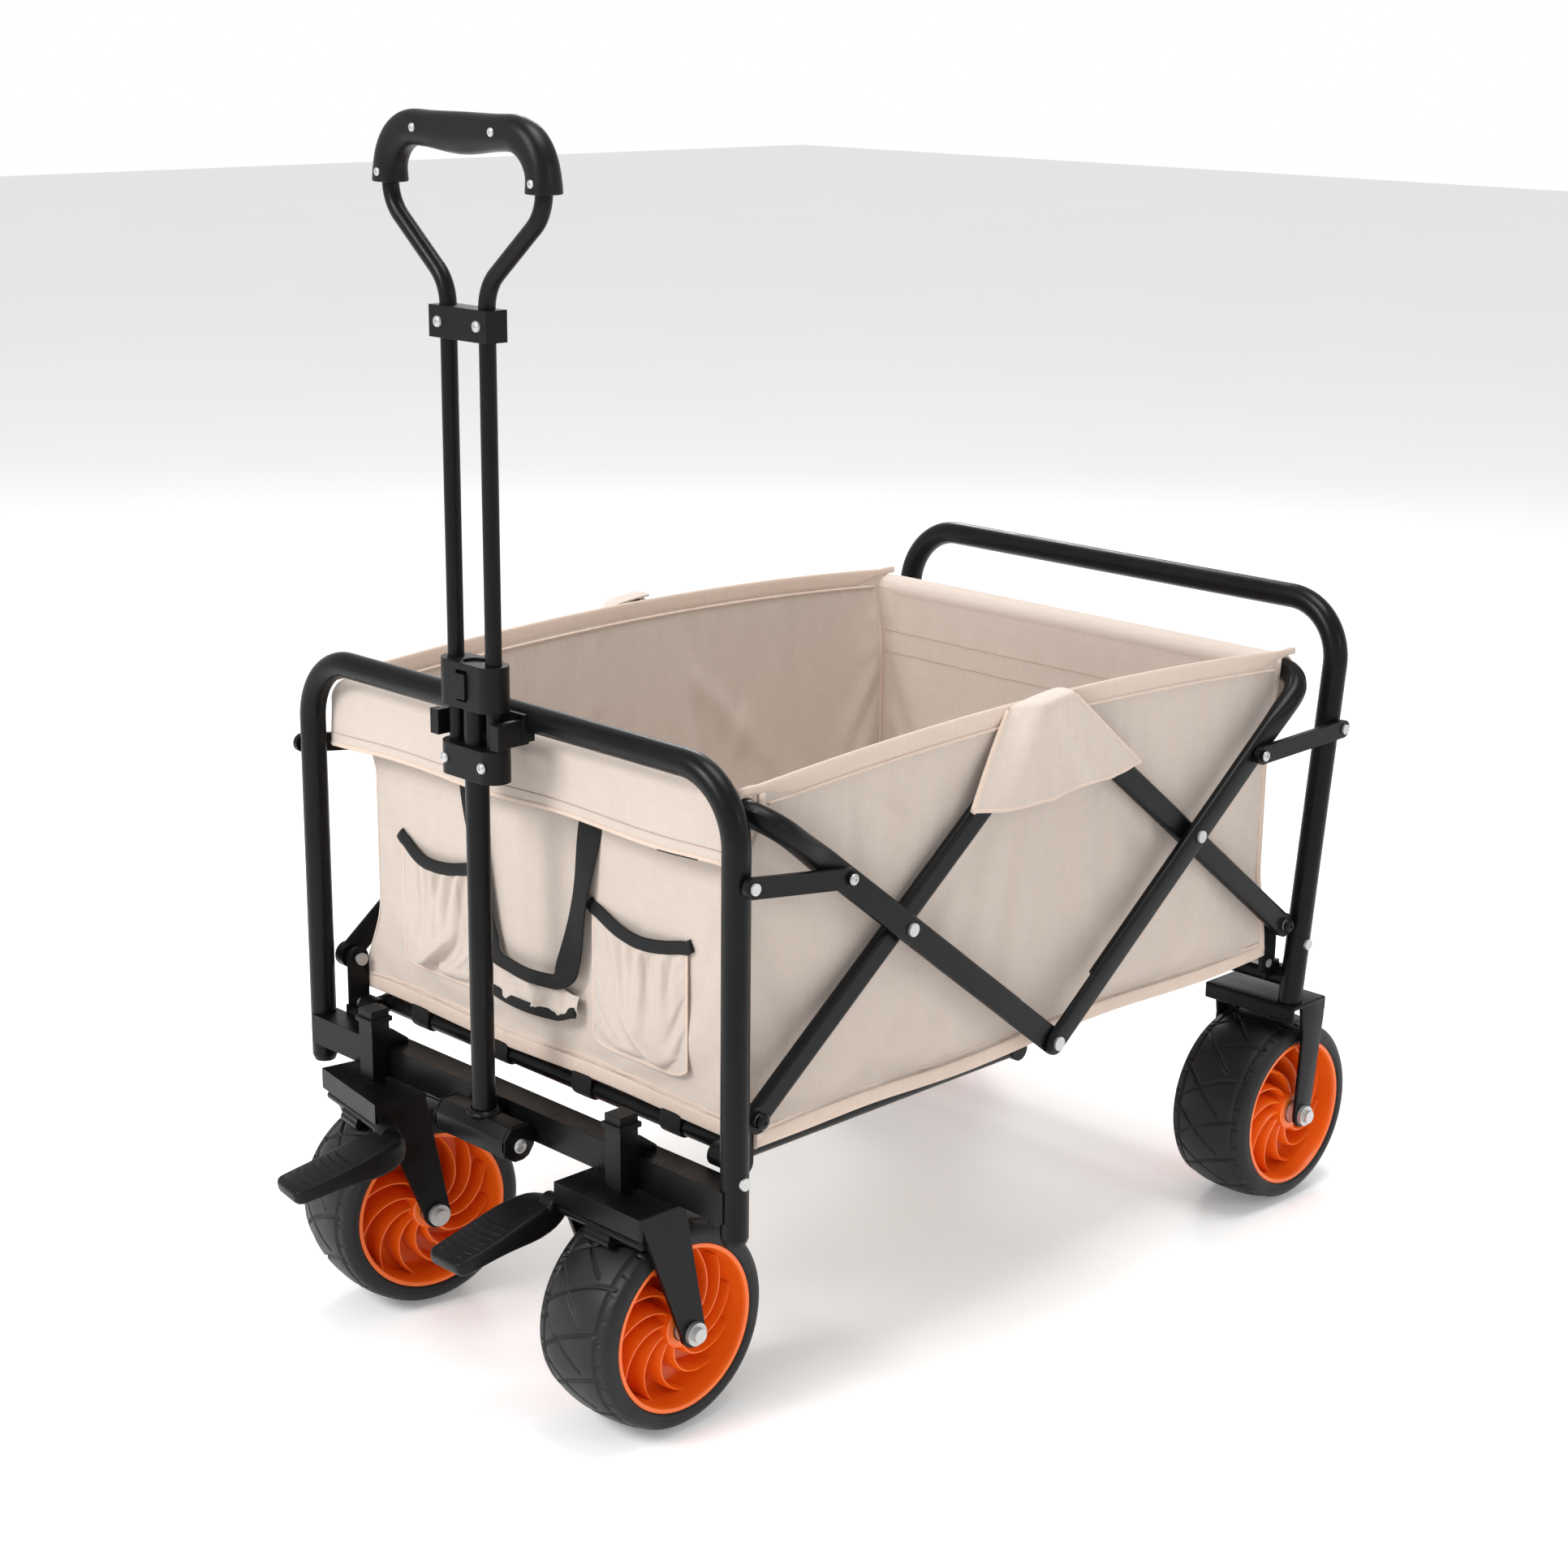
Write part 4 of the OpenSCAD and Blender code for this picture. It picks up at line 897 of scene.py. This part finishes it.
# ---- fabric ----
HALF = 243.4 * mm
TY = 11.9 * mm


def ride_fabric(obj, body, squashed=False, slot="beige_cloth"):
    place(obj, body, slot)
    if squashed:
        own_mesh(obj)
    return obj


def verts_of(obj, shape):
    co = np.empty(len(obj.data.vertices) * 3, np.float32)
    obj.data.vertices.foreach_get("co", co)
    return co.reshape(*shape, 3).astype(float)


def spread(nu, nv, low=0):
    """Coordinates u and v of a grid, each from low to 1."""
    return np.linspace(low, 1, nu)[:, None], np.linspace(low, 1, nv)[None, :]


def border(nu, nv, left=1, right=1, low=1, high=1):
    """Numbers of the grid points within so many rows of each edge; v runs from the low edge up."""
    i, j = np.meshgrid(np.arange(nu), np.arange(nv), indexing="ij")
    mask = (i < left) | (i >= nu - right) | (j < low) | (j >= nv - high)
    return np.nonzero(mask.ravel())[0]


def finish_sheet(obj, t):
    subdivide(obj)
    thicken(obj, t)
    obj.data.polygons.foreach_set("use_smooth", [True] * len(obj.data.polygons))
    obj.data.set_sharp_from_angle(angle=math.radians(50))


def tape(name, line, normal, width, thick, mat="binding", widths=None):
    """Folded tape along an edge: a soft flat section with its long side across the line."""
    if widths is None:
        widths = np.full(len(line), width)
    section = [oval(w / 2, thick / 2, 14, 3.2) for w in widths]
    return sweep(name, line, section, mat, up=normal)


def seam(name, line, normal, mat="seam_thread", wide=1.1 * mm, high=0.5 * mm):
    return sweep(name, line, oval(wide / 2, high, 8), mat, up=normal)


def ridge(y, z, a, b, width):
    """A soft fold along the line a to b, fading towards its ends."""
    a, b = np.array(a), np.array(b)
    d = b - a
    length = np.linalg.norm(d)
    d = d / length
    s = ((y - a[0]) * d[0] + (z - a[1]) * d[1]) / length
    off = (y - a[0]) * -d[1] + (z - a[1]) * d[0]
    return hump(off, width) * smoothstep(s, -0.02, 0.25) * (1 - smoothstep(s, 0.6, 1.05))


def side_top(y):
    t = (y - MID) / ((RY - PY) / 2)
    return TOPZ + 17 * mm + 14.5 * mm * (1 - t * t)


def side_low(y):
    return WALL_LOW + 2.5 * mm * np.sin((y - PY) * 19) * smoothstep(y, PY + 0.05, PY + 0.2)


def bow(v, depth):
    """How far a corner of the tub is drawn inwards between the base and the top tube."""
    return depth * smoothstep(v, 0.02, 0.30) * (1 - smoothstep(v, 0.70, 0.97))


def make_side(sign, name):
    y0, y1 = PY + 10.8 * mm, RY - 10.8 * mm
    nu, nv = 129, 53
    y = np.linspace(y0, y1, nu)[:, None] * np.ones((1, nv))
    v = np.linspace(0, 1, nv)[None, :]
    z = side_low(y) * (1 - v) + side_top(y) * v
    folds = 0
    for depth, a, b, width in (
            (4.2, (MID - 0.02, PEAKZ - 0.05), (PY + 0.10, 0.30), 0.014),
            (3.4, (MID + 0.03, PEAKZ - 0.04), (RY - 0.10, 0.30), 0.016),
            (3.4, (PY + 0.02, TOPZ - 0.03), (PY + 0.13, 0.36), 0.009),
            (-3.6, (PY + 0.03, TOPZ - 0.02), (PY + 0.20, 0.37), 0.012),
            (-2.6, (RY - 0.03, TOPZ - 0.02), (RY - 0.17, 0.33), 0.013),
            (2.4, (MID - 0.05, 0.42), (MID + 0.02, 0.30), 0.018),
            (3.0, (PY + 0.08, TOPZ + 0.01), (PY + 0.20, TOPZ - 0.05), 0.008),
            (-2.6, (PY + 0.14, TOPZ + 0.005), (PY + 0.24, TOPZ - 0.09), 0.010),
            (2.6, (PY + 0.15, 0.27), (PY + 0.22, 0.42), 0.012),
            (2.8, (MID + 0.08, 0.29), (MID + 0.15, 0.45), 0.012),
            (-2.4, (RY - 0.12, 0.30), (RY - 0.05, 0.46), 0.010)):
        folds = folds + depth * ridge(y, z, a, b, width)
    grain = slow_noise(y, z * 0.6 + sign, 16.0, 3 + sign)
    soft = np.minimum(1, 5 * np.minimum(v, 1 - v)) * np.minimum(1, 8 * np.minimum((y - y0), (y1 - y)) / 0.1)
    inward = (2.6 * grain + folds) * soft * mm
    drawn = bow(v, 24 * mm) * hump(y - y0, 0.055) + bow(v, 9 * mm) * hump(y1 - y, 0.05)
    x = sign * (WALL_X - np.maximum(inward, -1.4 * mm) - drawn)
    obj = grid(name, np.stack([x, y, z], -1), "beige_cloth")
    settle(
        obj, border(nu, nv, 2, 2, 2, 3), 2.0 * mm, 13 * mm, (sign, 0, 0), grow=0.005, gravity=0.5, bend=1.2)
    pts = verts_of(obj, (nu, nv))
    finish_sheet(obj, 1.8 * mm)
    top = pts[:, -1].copy()
    ends = [
        top[:1] + [[0, dy, dz]] for dy,
        dz in ((-20 * mm, -0.4 * mm), (-13 * mm, 0.4 * mm), (-6 * mm, 0.5 * mm))]
    ends += [
        top[-1:] + [[0, dy, dz]] for dy,
        dz in ((6 * mm, 0.5 * mm), (13 * mm, 0.4 * mm), (20 * mm, -0.4 * mm))]
    line = np.concatenate(ends[:3] + [top] + ends[3:])
    grown = smoothstep(np.minimum(np.arange(nu), nu - 1 - np.arange(nu)), 0, 8)
    widths = np.concatenate([[6, 6.8, 7.6], 7.6 + 8.2 * grown, [7.6, 6.8, 6]]) * mm
    line[:, 2] += 1.4 * mm - widths / 2
    bits = [tape(name + "_top_tape", line, (sign, 0, 0), 11 * mm, 3.0 * mm, widths=widths)]
    low = pts[:, 0] + [0, 0, 4.8 * mm]
    bits.append(tape(name + "_low_tape", low, (sign, 0, 0), 12.5 * mm, 3.0 * mm))
    for k, (col, dz) in enumerate(((-1, -16.2 * mm), (0, 13.2 * mm))):
        line = pts[2:-2, col].copy()
        line[:, 2] += dz
        line[:, 0] = pts[2:-2, -4 if k == 0 else 3, 0]
        bits.append(tape(f"{name}_ridge_{k}", line, (sign, 0, 0), 2.6 * mm, 4.6 * mm))
    for k, col in ((0, 0), (1, nu - 1)):
        line = pts[col, 1:-1].copy()
        line[:, 1] += (3.4 if k == 0 else -3.4) * mm
        line[:, 0] += sign * 0.4 * mm
        bits.append(tape(f"{name}_end_tape_{k}", line, (sign, 0, 0), 7 * mm, 2.6 * mm))
    for o in [obj] + bits:
        ride_fabric(o, "tub_front", True)
    return obj


def make_tri(sign, name):
    """Flap over the inner bars' top joint, sewn to the wall at its front edge and top, free elsewhere."""
    nu, nv = 45, 37
    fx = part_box("side_walls")[1].x + 0.8 * mm
    u, v = spread(nu, nv)
    roof = 0.86
    w = np.minimum(v / roof, 1)
    hem_y = (MID - 0.106) * (1 - u) + (MID + 0.102) * u
    hem_z = PEAKZ - 65 * mm - 8 * mm * np.sin(np.pi * u) + 6 * mm * hump(u - 0.6, 0.13) + 3 * mm * u
    top_y = MID - 46 * mm + 58 * mm * u
    top_z = PEAKZ + 12.5 * mm - 6.5 * mm * (1 - u) ** 1.5
    y = top_y * w + hem_y * (1 - w)
    z = top_z * w + hem_z * (1 - w)
    out = 3.0 * np.sin(np.pi * np.minimum(1, u + 0.06)) ** 0.7 * (1 - w)
    out = out + 3.4 * hump(u - 0.60 + 0.10 * w, 0.09) * (1 - w) ** 0.6
    out = out - 2.0 * hump(u - 0.36 + 0.1 * w, 0.09) * (1 - w) ** 0.8 + 1.6 * hump(u - 0.9, 0.08) * (1 - w)
    over = fx + np.maximum(out, -0.5) * mm
    sewn = 1 - smoothstep(u, 0.0, 0.16 + 0.25 * w)
    base = WALL_X + 1.6 * mm + (fx - 3 * mm - WALL_X) * (1 - w) ** 1.2
    x = over * (1 - sewn) + base * sewn
    tuck = smoothstep(v, roof, 1.0)
    x = x * (1 - tuck) + (WALL_X + 0.8 * mm) * tuck
    z = z + 1.6 * mm * np.sin(np.pi * tuck) * (1 - sewn)
    obj = grid(
        name, np.stack([sign * x * np.ones_like(y), y * np.ones_like(x), z * np.ones_like(x)], -1),
        "beige_cloth")
    settle(
        obj, border(nu, nv, 2, 1, 0, int(nv * 0.2)), 3.5 * mm, 0.5 * mm, (sign, 0, 0), grow=0.012,
        gravity=0.6, bend=0.8)
    pts = verts_of(obj, (nu, nv))
    finish_sheet(obj, 1.7 * mm)
    hem = pts[:, 0] + [0, 0, 0.9 * mm]
    last = int(nv * roof)
    bits = [tape(name + "_hem", hem, (sign, 0, 0), 3.2 * mm, 2.5 * mm)]
    bits.append(tape(name + "_front_edge", pts[0, :last], (sign, 0, 0), 6.0 * mm, 2.8 * mm))
    bits.append(tape(name + "_rear_edge", pts[-1, :last], (sign, 0, 0), 2.6 * mm, 2.3 * mm))
    for o in [obj] + bits:
        ride_fabric(o, "tub_front", True)


def make_end(y_tube, direction, name, body):
    """End wall: a panel inside the cross tube, and a flap that wraps over the tube and hangs outside it."""
    nu, nv = 97, 50
    v = np.linspace(0, 1, nv)[None, :]
    flat_x = np.linspace(-HALF - 1.2 * mm, HALF + 1.2 * mm, nu)[:, None] * np.ones((1, nv))
    depth = (24 if direction > 0 else 9) * mm
    x = flat_x - np.sign(flat_x) * bow(v, depth) * (np.abs(flat_x) / HALF) ** 3
    low = WALL_LOW + 1.5 * mm * np.sin(x * 23)
    z = low * (1 - v) + (TOPZ + 3 * mm) * v
    grain = slow_noise(x * 0.8, z * 0.7, 13.0, 7 + direction)
    sag = 1.0 * grain + 1.2 * hump(x - 0.03, 0.05)
    soft = np.minimum(1, 5 * np.minimum(v, 1 - v)) * np.minimum(
        1, np.maximum(0, HALF - np.abs(flat_x)) / 0.05)
    corner = smoothstep(np.abs(x), 0.224, HALF) * smoothstep(z, TOPZ - 0.05, TOPZ - 0.012) * 3.2 * mm
    y = y_tube + direction * (TY + sag * soft * mm + corner)
    obj = grid(name, np.stack([x, y, z], -1), "beige_cloth")
    settle(
        obj, border(nu, nv, 2, 2, 2, 4), 0.9 * mm if direction > 0 else 1.5 * mm, 9 * mm,
        (0, -direction, 0), grow=0.004, gravity=0.5, bend=1.5)
    pts = verts_of(obj, (nu, nv))
    finish_sheet(obj, 1.8 * mm)
    low_line = pts[:, 0] + [0, 0, 5.0 * mm]
    bits = [tape(name + "_low_tape", low_line, (0, -direction, 0), 13.0 * mm, 3.0 * mm)]
    line = pts[1:-1, 3].copy()
    line[:, 2] = pts[1:-1, 0, 2] + 14 * mm
    bits.append(tape(name + "_ridge", line, (0, -direction, 0), 3.0 * mm, 4.6 * mm))
    for k, depth in enumerate((43 * mm, 64 * mm)):
        row = int(round((1 - depth / (TOPZ - WALL_LOW + 3 * mm)) * (nv - 1)))
        line = pts[1:-1, row].copy()
        line[:, 1] += direction * 1.0 * mm
        bits.append(seam(f"{name}_inner_seam_{k}", line, (0, direction, 0)))

    # the flap: up from the panel, over the tube, down outside it
    nu2 = 93
    ends = ((-260 if direction > 0 else -254) * mm, 240 * mm)
    arc = np.linspace(-0.25, np.pi, 17)
    drop = np.linspace(0, 1, 13)[1:]
    r = SLEEVE_R + 0.2 * mm
    prof = [(r * math.cos(a), r * math.sin(a)) for a in arc] + [(-r, -d * 41 * mm) for d in drop]
    prof = np.array(prof)
    x = np.linspace(ends[0], ends[1], nu2)[:, None] * np.ones((1, len(prof)))
    hang = np.maximum(0, -prof[:, 1][None, :] / (41 * mm)) * (prof[:, 0] < 0)[None, :] * np.ones_like(x)
    wave = slow_noise(x, hang * 0.03, 17.0, 11 + direction)
    end = smoothstep(np.minimum(ends[1] - x, x - ends[0]), 9 * mm, 0)
    yy = prof[:, 0][None, :] * (1 - 0.06 * end * (hang <= 0)) - (1.5 + 1.8 * wave) * hang * mm
    zz = prof[:, 1][None, :] * (1 - 0.10 * end * (hang <= 0))
    zz = zz + 1.6 * mm * hang * np.sin(x * 31) - 1.5 * mm * hang * end
    turn = 30 * mm - np.sqrt((30 * mm) ** 2 - np.clip(np.abs(x) - 237 * mm, 0, 24 * mm) ** 2)
    yy = yy + 0.789 * turn
    zz = zz - 0.614 * turn * (1 - 0.6 * hang)
    flap = grid(name + "_flap", np.stack([x, y_tube + direction * yy, TOPZ + zz], -1), "beige_cloth")
    pin = np.nonzero((np.tile(np.arange(len(prof)), nu2) < 17))[0]
    settle(flap, pin, 3.0 * mm, 0.6 * mm, (0, -direction, 0), grow=0.006, gravity=0.8, bend=1.0)
    fpts = verts_of(flap, (nu2, len(prof)))
    finish_sheet(flap, 1.7 * mm)
    hem = fpts[:, -1] + [0, 0, 1.2 * mm]
    fbits = [tape(name + "_flap_hem", hem, (0, -direction, 0), 4.2 * mm, 2.8 * mm)]
    line = fpts[1:-1, -4].copy()
    line[:, 1] -= direction * 0.95 * mm
    fbits.append(seam(name + "_flap_seam", line, (0, -direction, 0)))
    if direction > 0:
        # Painted shade: a thin strip of black webbing along the hem's right end, just outside and below it, stands
        # for the shadowed opening of a slit in the flap.
        slit_shade_line = fpts[(fpts[:, -1, 0] > 0.163) & (fpts[:, -1, 0] < 0.212), -1].copy()
        slit_shade_line[:, 2] -= 0.6 * mm
        slit_shade_line[:, 1] -= 0.7 * mm
        fbits.append(seam(name + "_flap_slit", slit_shade_line, (0, -1, 0), "webbing", 1.5 * mm, 0.9 * mm))
    for k in (0, -1):
        edge = fpts[k, 1:].copy()
        out = edge - np.array([0, y_tube, TOPZ])
        out[:, 0] = 0
        out[out[:, 2] < 0, 2] = 0
        out /= np.linalg.norm(out, axis=1)[:, None]
        fbits.append(tape(f"{name}_flap_end_{k % 2}", edge, out, 4.4 * mm, 2.6 * mm))
    for o in [obj, flap] + bits + fbits:
        ride_fabric(o, body)
    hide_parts(name)


FRONT_FACE = PY + TY - 1.0 * mm


def make_pocket(name, x0, x1, z_low, z_top, mirror):
    """Gathered pocket: too much cloth sewn to three sides and drawn in by elastic along the top."""
    nu, nv = 49, 49
    u, v = spread(nu, nv)
    w = 1 - u if mirror else u
    if mirror:
        sag = np.interp(u, (0, 0.1, 0.3, 0.6, 0.9, 1), (0, 8, 16, 15, 8, 3))
    else:
        sag = np.interp(u, (0, 0.12, 0.3, 0.55, 0.8, 1), (0, 4, 10.5, 15, 12.5, 7))
    sag = np.convolve(np.pad(sag[:, 0], 4, mode="edge"), np.ones(9) / 9, mode="valid")[:, None]
    top_z = z_top - sag * mm
    x = x0 + (x1 - x0) * u * np.ones_like(v)
    low_z = z_low + 7 * mm * (np.abs(2 * u - 1) ** 7)
    z = low_z * (1 - v) + top_z * v
    bulge = 11.0 * np.sin(np.pi * u) ** 0.55 * (1 - 0.45 * v) * smoothstep(v, 0, 0.16)
    for c, wide, tall, amp in (
        (0.12, 0.03, 0.45, 2.4), (0.27, 0.04, 0.75, 4.0), (0.43, 0.035, 0.5, 3.0), (0.58, 0.045, 0.85, 4.4),
        (0.78, 0.035, 0.6, 3.0)
    ):
        lean = c + 0.10 * (1 - v) * (1 if c < 0.5 else -0.7) + 0.02 * np.sin(9 * v + 7 * c)
        reach = smoothstep(v, 1 - tall, 0.85) * (1 - smoothstep(v, 0.93, 1.0))
        bulge = bulge + amp * (hump(w - lean, wide) - 0.8 * hump(w - lean - 0.075, wide)) * reach
    slant = (w - 0.35) - 1.15 * (0.45 - v)
    pleats = smoothstep(w, 0.2, 0.45) * (1 - smoothstep(v, 0.42, 0.7))
    bulge = bulge + 6.5 * hump(slant, 0.075) * pleats * (1 - smoothstep(w, 0.8, 0.97))
    bulge = bulge - 6.0 * hump(slant + 0.14, 0.06) * pleats * (1 - smoothstep(w, 0.85, 0.97))
    edge = np.sin(np.pi * u) ** 0.35 * smoothstep(v, 0, 0.10)
    bulge = np.clip(bulge, 0.3, 19) * edge
    y = FRONT_FACE - 0.8 * mm - bulge * mm
    obj = grid(name, np.stack([x, y, z], -1), "beige_cloth")
    settle(
        obj, border(nu, nv, 1, 1, 1, 2), 3.5 * mm, 4.0 * mm, (0, -1, 0), frames=26, grow=0.05, gravity=0.7,
        bend=0.15)
    pts = verts_of(obj, (nu, nv))
    pts[..., 1] = np.minimum(pts[..., 1], FRONT_FACE - 0.9 * mm)
    pts[..., 1] = np.maximum(pts[..., 1], FRONT_FACE - 23 * mm)
    set_points(obj, pts)
    finish_sheet(obj, 1.3 * mm)
    band = pts[:, -1].copy()
    for k in (1, 2):
        kernel = np.ones(7) / 7
        band[:, k] = np.convolve(np.pad(band[:, k], 3, mode="edge"), kernel, mode="valid")
    band[:, 2] += 1.5 * mm
    band[:, 1] -= 0.3 * mm
    band = np.concatenate([
        band[:1] + [[-5 * mm, 1 * mm, 3.0 * mm]], band, band[-1:] + [[5 * mm, 1 * mm, 3.0 * mm]]])
    elastic = sweep(name + "_elastic", band, oval(5.4 * mm, 1.9 * mm, 16, 2.6), "elastic", up=(0, -1, 0.25))
    rim = np.concatenate([pts[0, ::-1][2:], pts[1:-1, 0], pts[-1, :][:-2]])
    rim[:, 1] -= 0.4 * mm
    trim = tape(name + "_edge_seam", rim, (0, -1, 0), 2.6 * mm, 1.8 * mm)
    for o in (obj, elastic, trim):
        ride_fabric(o, "tub_front")
    return obj


def make_strap():
    """Webbing loop hanging from under the flap, with a gathered pleat and an elastic below it."""
    path = [
        (63, 476, 1.5), (59, 455, 2.5), (54, 425, 4), (49, 395, 5.5), (44, 365, 7), (39, 345, 8),
        (34, 333, 8.5)]
    path += [
        (25, 324.5, 9), (10, 322, 9.5), (-12, 321, 10), (-34, 323, 9.5), (-50, 326, 9), (-60, 334, 8.5)]
    path += [(-67, 352, 8), (-75, 390, 6), (-84, 430, 4), (-92, 476, 1.5)]
    pts = np.array(path, float)
    fine = []
    for k in range(len(pts) - 1):
        p0, p1, p2, p3 = pts[max(k - 1, 0)], pts[k], pts[k + 1], pts[min(k + 2, len(pts) - 1)]
        for t in np.linspace(0, 1, 6, endpoint=False):
            bend = (2 * p0 - 5 * p1 + 4 * p2 - p3) * t * t + (3 * p1 - p0 - 3 * p2 + p3) * t ** 3
            fine.append(0.5 * (2 * p1 + (p2 - p0) * t + bend))
    fine.append(pts[-1])
    fine = np.array(fine)
    line = np.stack([fine[:, 0], FRONT_FACE / mm - fine[:, 2], fine[:, 1]], 1) * mm
    low = hump(fine[:, 1] - 321, 9.0)
    sections = np.array([oval((11.5 - 5.5 * k) * mm, 1.05 * mm, 16, 4) for k in low])
    ups = np.stack([0.25 * np.sin(fine[:, 1] / 23), -np.ones(len(fine)), 0.1 * np.cos(fine[:, 0] / 20)], 1)
    strap = sweep("strap_loop", line, sections, "webbing", up=ups)
    x = np.linspace(-70, 44, 45)
    dip = 297 - 2.5 * np.sin((x + 70) / 114 * np.pi) + 5 * smoothstep(x, 24, 44)
    out = 6.5 + 6.5 * np.sin((x + 70) / 114 * np.pi)
    low_line = np.stack([x, FRONT_FACE / mm - out, dip], 1) * mm
    band = sweep("strap_elastic", low_line, oval(4.6 * mm, 1.3 * mm, 14, 3), "webbing", up=(0, -1, 0.1))
    nu, nv = 61, 13
    u, v = spread(nu, nv)
    xx = -71 + 116 * u * np.ones_like(v)
    arch = np.sin(np.pi * u)
    low_z = 293 + 1.2 * np.sin(21 * u) - 3 * arch + 5 * smoothstep(u, 0.83, 1)
    zz = low_z * (1 - v) + (316 + 1.5 * np.sin(17 * u + 1)) * v
    bulge = (4 + 5.0 * arch ** 0.6) * np.sin(np.pi * (0.12 + 0.84 * v)) ** 0.7
    bulge = bulge + 7.2 * np.sin(23 * u + 2.0 * v) * arch * v * (1 - v) + 3.5 * (1 - v) * arch
    yy = FRONT_FACE / mm - 1.2 - np.clip(bulge, 0, 12)
    ruffle = grid("strap_ruffle", np.stack([xx, yy, zz], -1) * mm, "beige_cloth")
    settle(
        ruffle, border(nu, nv, 1, 1, 1, 1), 2.5 * mm, 2.5 * mm, (0, -1, 0), frames=18, grow=0.05,
        gravity=0.4, bend=0.1)
    finish_sheet(ruffle, 1.2 * mm)
    for o in (strap, band, ruffle):
        ride_fabric(o, "tub_front", slot="webbing")
    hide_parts("front_strap")


def make_tabs():
    """Black tape straps that hold the tub's lower edge to the base tubes."""
    lo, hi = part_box("base_frame_front")
    cz, r = (lo.z + hi.z) / 2, 8.2 * mm
    for side, (y_tube, dir_, body) in enumerate((
        (PY + 18 * mm, 1, "base_front"), (RY - 18 * mm, -1, "base_rear")
    )):
        for k, x in enumerate((-168, -62, 44, 150)):
            arc = np.linspace(np.pi, 2 * np.pi + 0.9, 22)
            points = [
                (-5.6 * mm, 19 * mm), (-6.6 * mm, 12 * mm), (-7.6 * mm, 5 * mm)
            ] + [(r * math.cos(a), r * math.sin(a)) for a in arc]
            points = np.array(points)
            line = np.stack(
                [np.full(len(points), x * mm), y_tube + dir_ * points[:, 0], cz + points[:, 1]], 1)
            tab = sweep(
                f"base_tab_{side}_{k}", line, oval(12 * mm, 0.9 * mm, 12, 4), "webbing",
                up=np.cross(np.gradient(line, axis=0), (1, 0, 0)))
            place(tab, body, "webbing")


def make_mat(node, body, name):
    """Padded floor board: a quilted pillow over the board, with welted edges."""
    lo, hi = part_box(node)
    nu, nv = 81, 49
    u, v = spread(nu, nv, -1)
    cx, cy = (lo.x + hi.x) / 2, (lo.y + hi.y) / 2
    hx, hy = (hi.x - lo.x) / 2 - 0.5 * mm, (hi.y - lo.y) / 2 - 0.5 * mm
    grow = 1 - 0.012 * (1 - np.abs(v) ** 6) * np.sin(5 * np.pi * u) ** 2
    x = cx + hx * u * np.ones_like(v)
    y = cy + hy * v * grow
    rise = (1 - u ** 10) * (1 - v ** 10)
    puff = 5.6 * np.abs(np.sin(1.5 * np.pi * (u + 1))) ** 0.45 * np.abs(np.sin(np.pi * (v + 1))) ** 0.45
    wrinkle = slow_noise(x, y, 24.0, 21)
    top = hi.z - 3.0 * mm + (puff + 1.0 * wrinkle) * mm * rise ** 0.5 - 1.5 * mm * (1 - rise ** 0.3)
    bottom = lo.z + 0.3 * mm + 0 * top
    upper = np.stack([x, y, top], -1)
    lower = np.stack([x, y, bottom], -1)
    verts = np.concatenate([upper.reshape(-1, 3), lower.reshape(-1, 3)])
    faces = grid_faces(nu, nv)
    faces += [f[::-1] for f in grid_faces(nu, nv, start=nu * nv)]
    n = nu * nv
    for i in range(nu - 1):
        for j in (0, nv - 1):
            a, b = i * nv + j, (i + 1) * nv + j
            faces.append([a, b, b + n, a + n] if j == 0 else [b, a, a + n, b + n])
    for j in range(nv - 1):
        for i in (0, nu - 1):
            a, b = i * nv + j, i * nv + j + 1
            faces.append([b, a, a + n, b + n] if i == 0 else [a, b, b + n, a + n])
    mat = mesh_object(name, verts, faces, "beige_cloth")
    outward(mat)
    flat_v, flat_u = np.tile(v, (nu, 1)).ravel(), np.tile(u, (1, nv)).ravel()
    along, across = np.sin(1.5 * np.pi * (flat_u + 1)), np.sin(np.pi * (flat_v + 1))
    lines = (np.abs(along) < 0.05) | (np.abs(across) < 0.06)
    start, end = simulate(
        mat, list(np.nonzero(lines)[0]) + list(range(n, 2 * n)), 16, 0, quality=5, use_pressure=True,
        uniform_pressure_force=2.5, bending_stiffness=1.5, tension_stiffness=25, compression_stiffness=25,
        shrink_min=-0.01)
    move = end - start
    size = np.linalg.norm(move, axis=1)
    cap = 3.0 * mm
    move *= (cap * np.tanh(size / cap) / np.maximum(size, 1e-9))[:, None]
    set_points(mat, start + move)
    subdivide(mat)
    xy = np.stack([x, y], -1)
    edge = np.concatenate([xy[:, 0], xy[-1][1:], xy[:, -1][::-1][1:], xy[0][::-1][1:]])
    welt = np.concatenate([edge, np.full((len(edge), 1), (lo.z + hi.z) / 2)], 1)
    inset = welt.copy()
    inset[:, 0] = cx + (welt[:, 0] - cx) * (1 - 0.8 * mm / hx)
    inset[:, 1] = cy + (welt[:, 1] - cy) * (1 - 0.8 * mm / hy)
    rim = sweep(name + "_welt", inset, oval(2.0 * mm, 2.0 * mm, 10), "binding")
    for o in (mat, rim):
        place(o, body, "beige_cloth")
    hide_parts(node)


make_end(PY, 1, "front_wall", "tub_front")
make_end(RY, -1, "rear_wall", "tub_rear")
sides = [make_side(1, "side_wall_right"), make_side(-1, "side_wall_left")]
make_tri(1, "tri_flap_right")
make_tri(-1, "tri_flap_left")
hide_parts("side_walls")
pockets = [
    make_pocket("pocket_right", 61 * mm, 170 * mm, 280 * mm, 394 * mm, False),
    make_pocket("pocket_left", -184 * mm, -76 * mm, 286 * mm, 398 * mm, True)]
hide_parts("front_pockets")
make_strap()
make_tabs()
make_mat("floor_board_front", "base_front", "floor_mat_front")
make_mat("floor_board_rear", "base_rear", "floor_mat_rear")
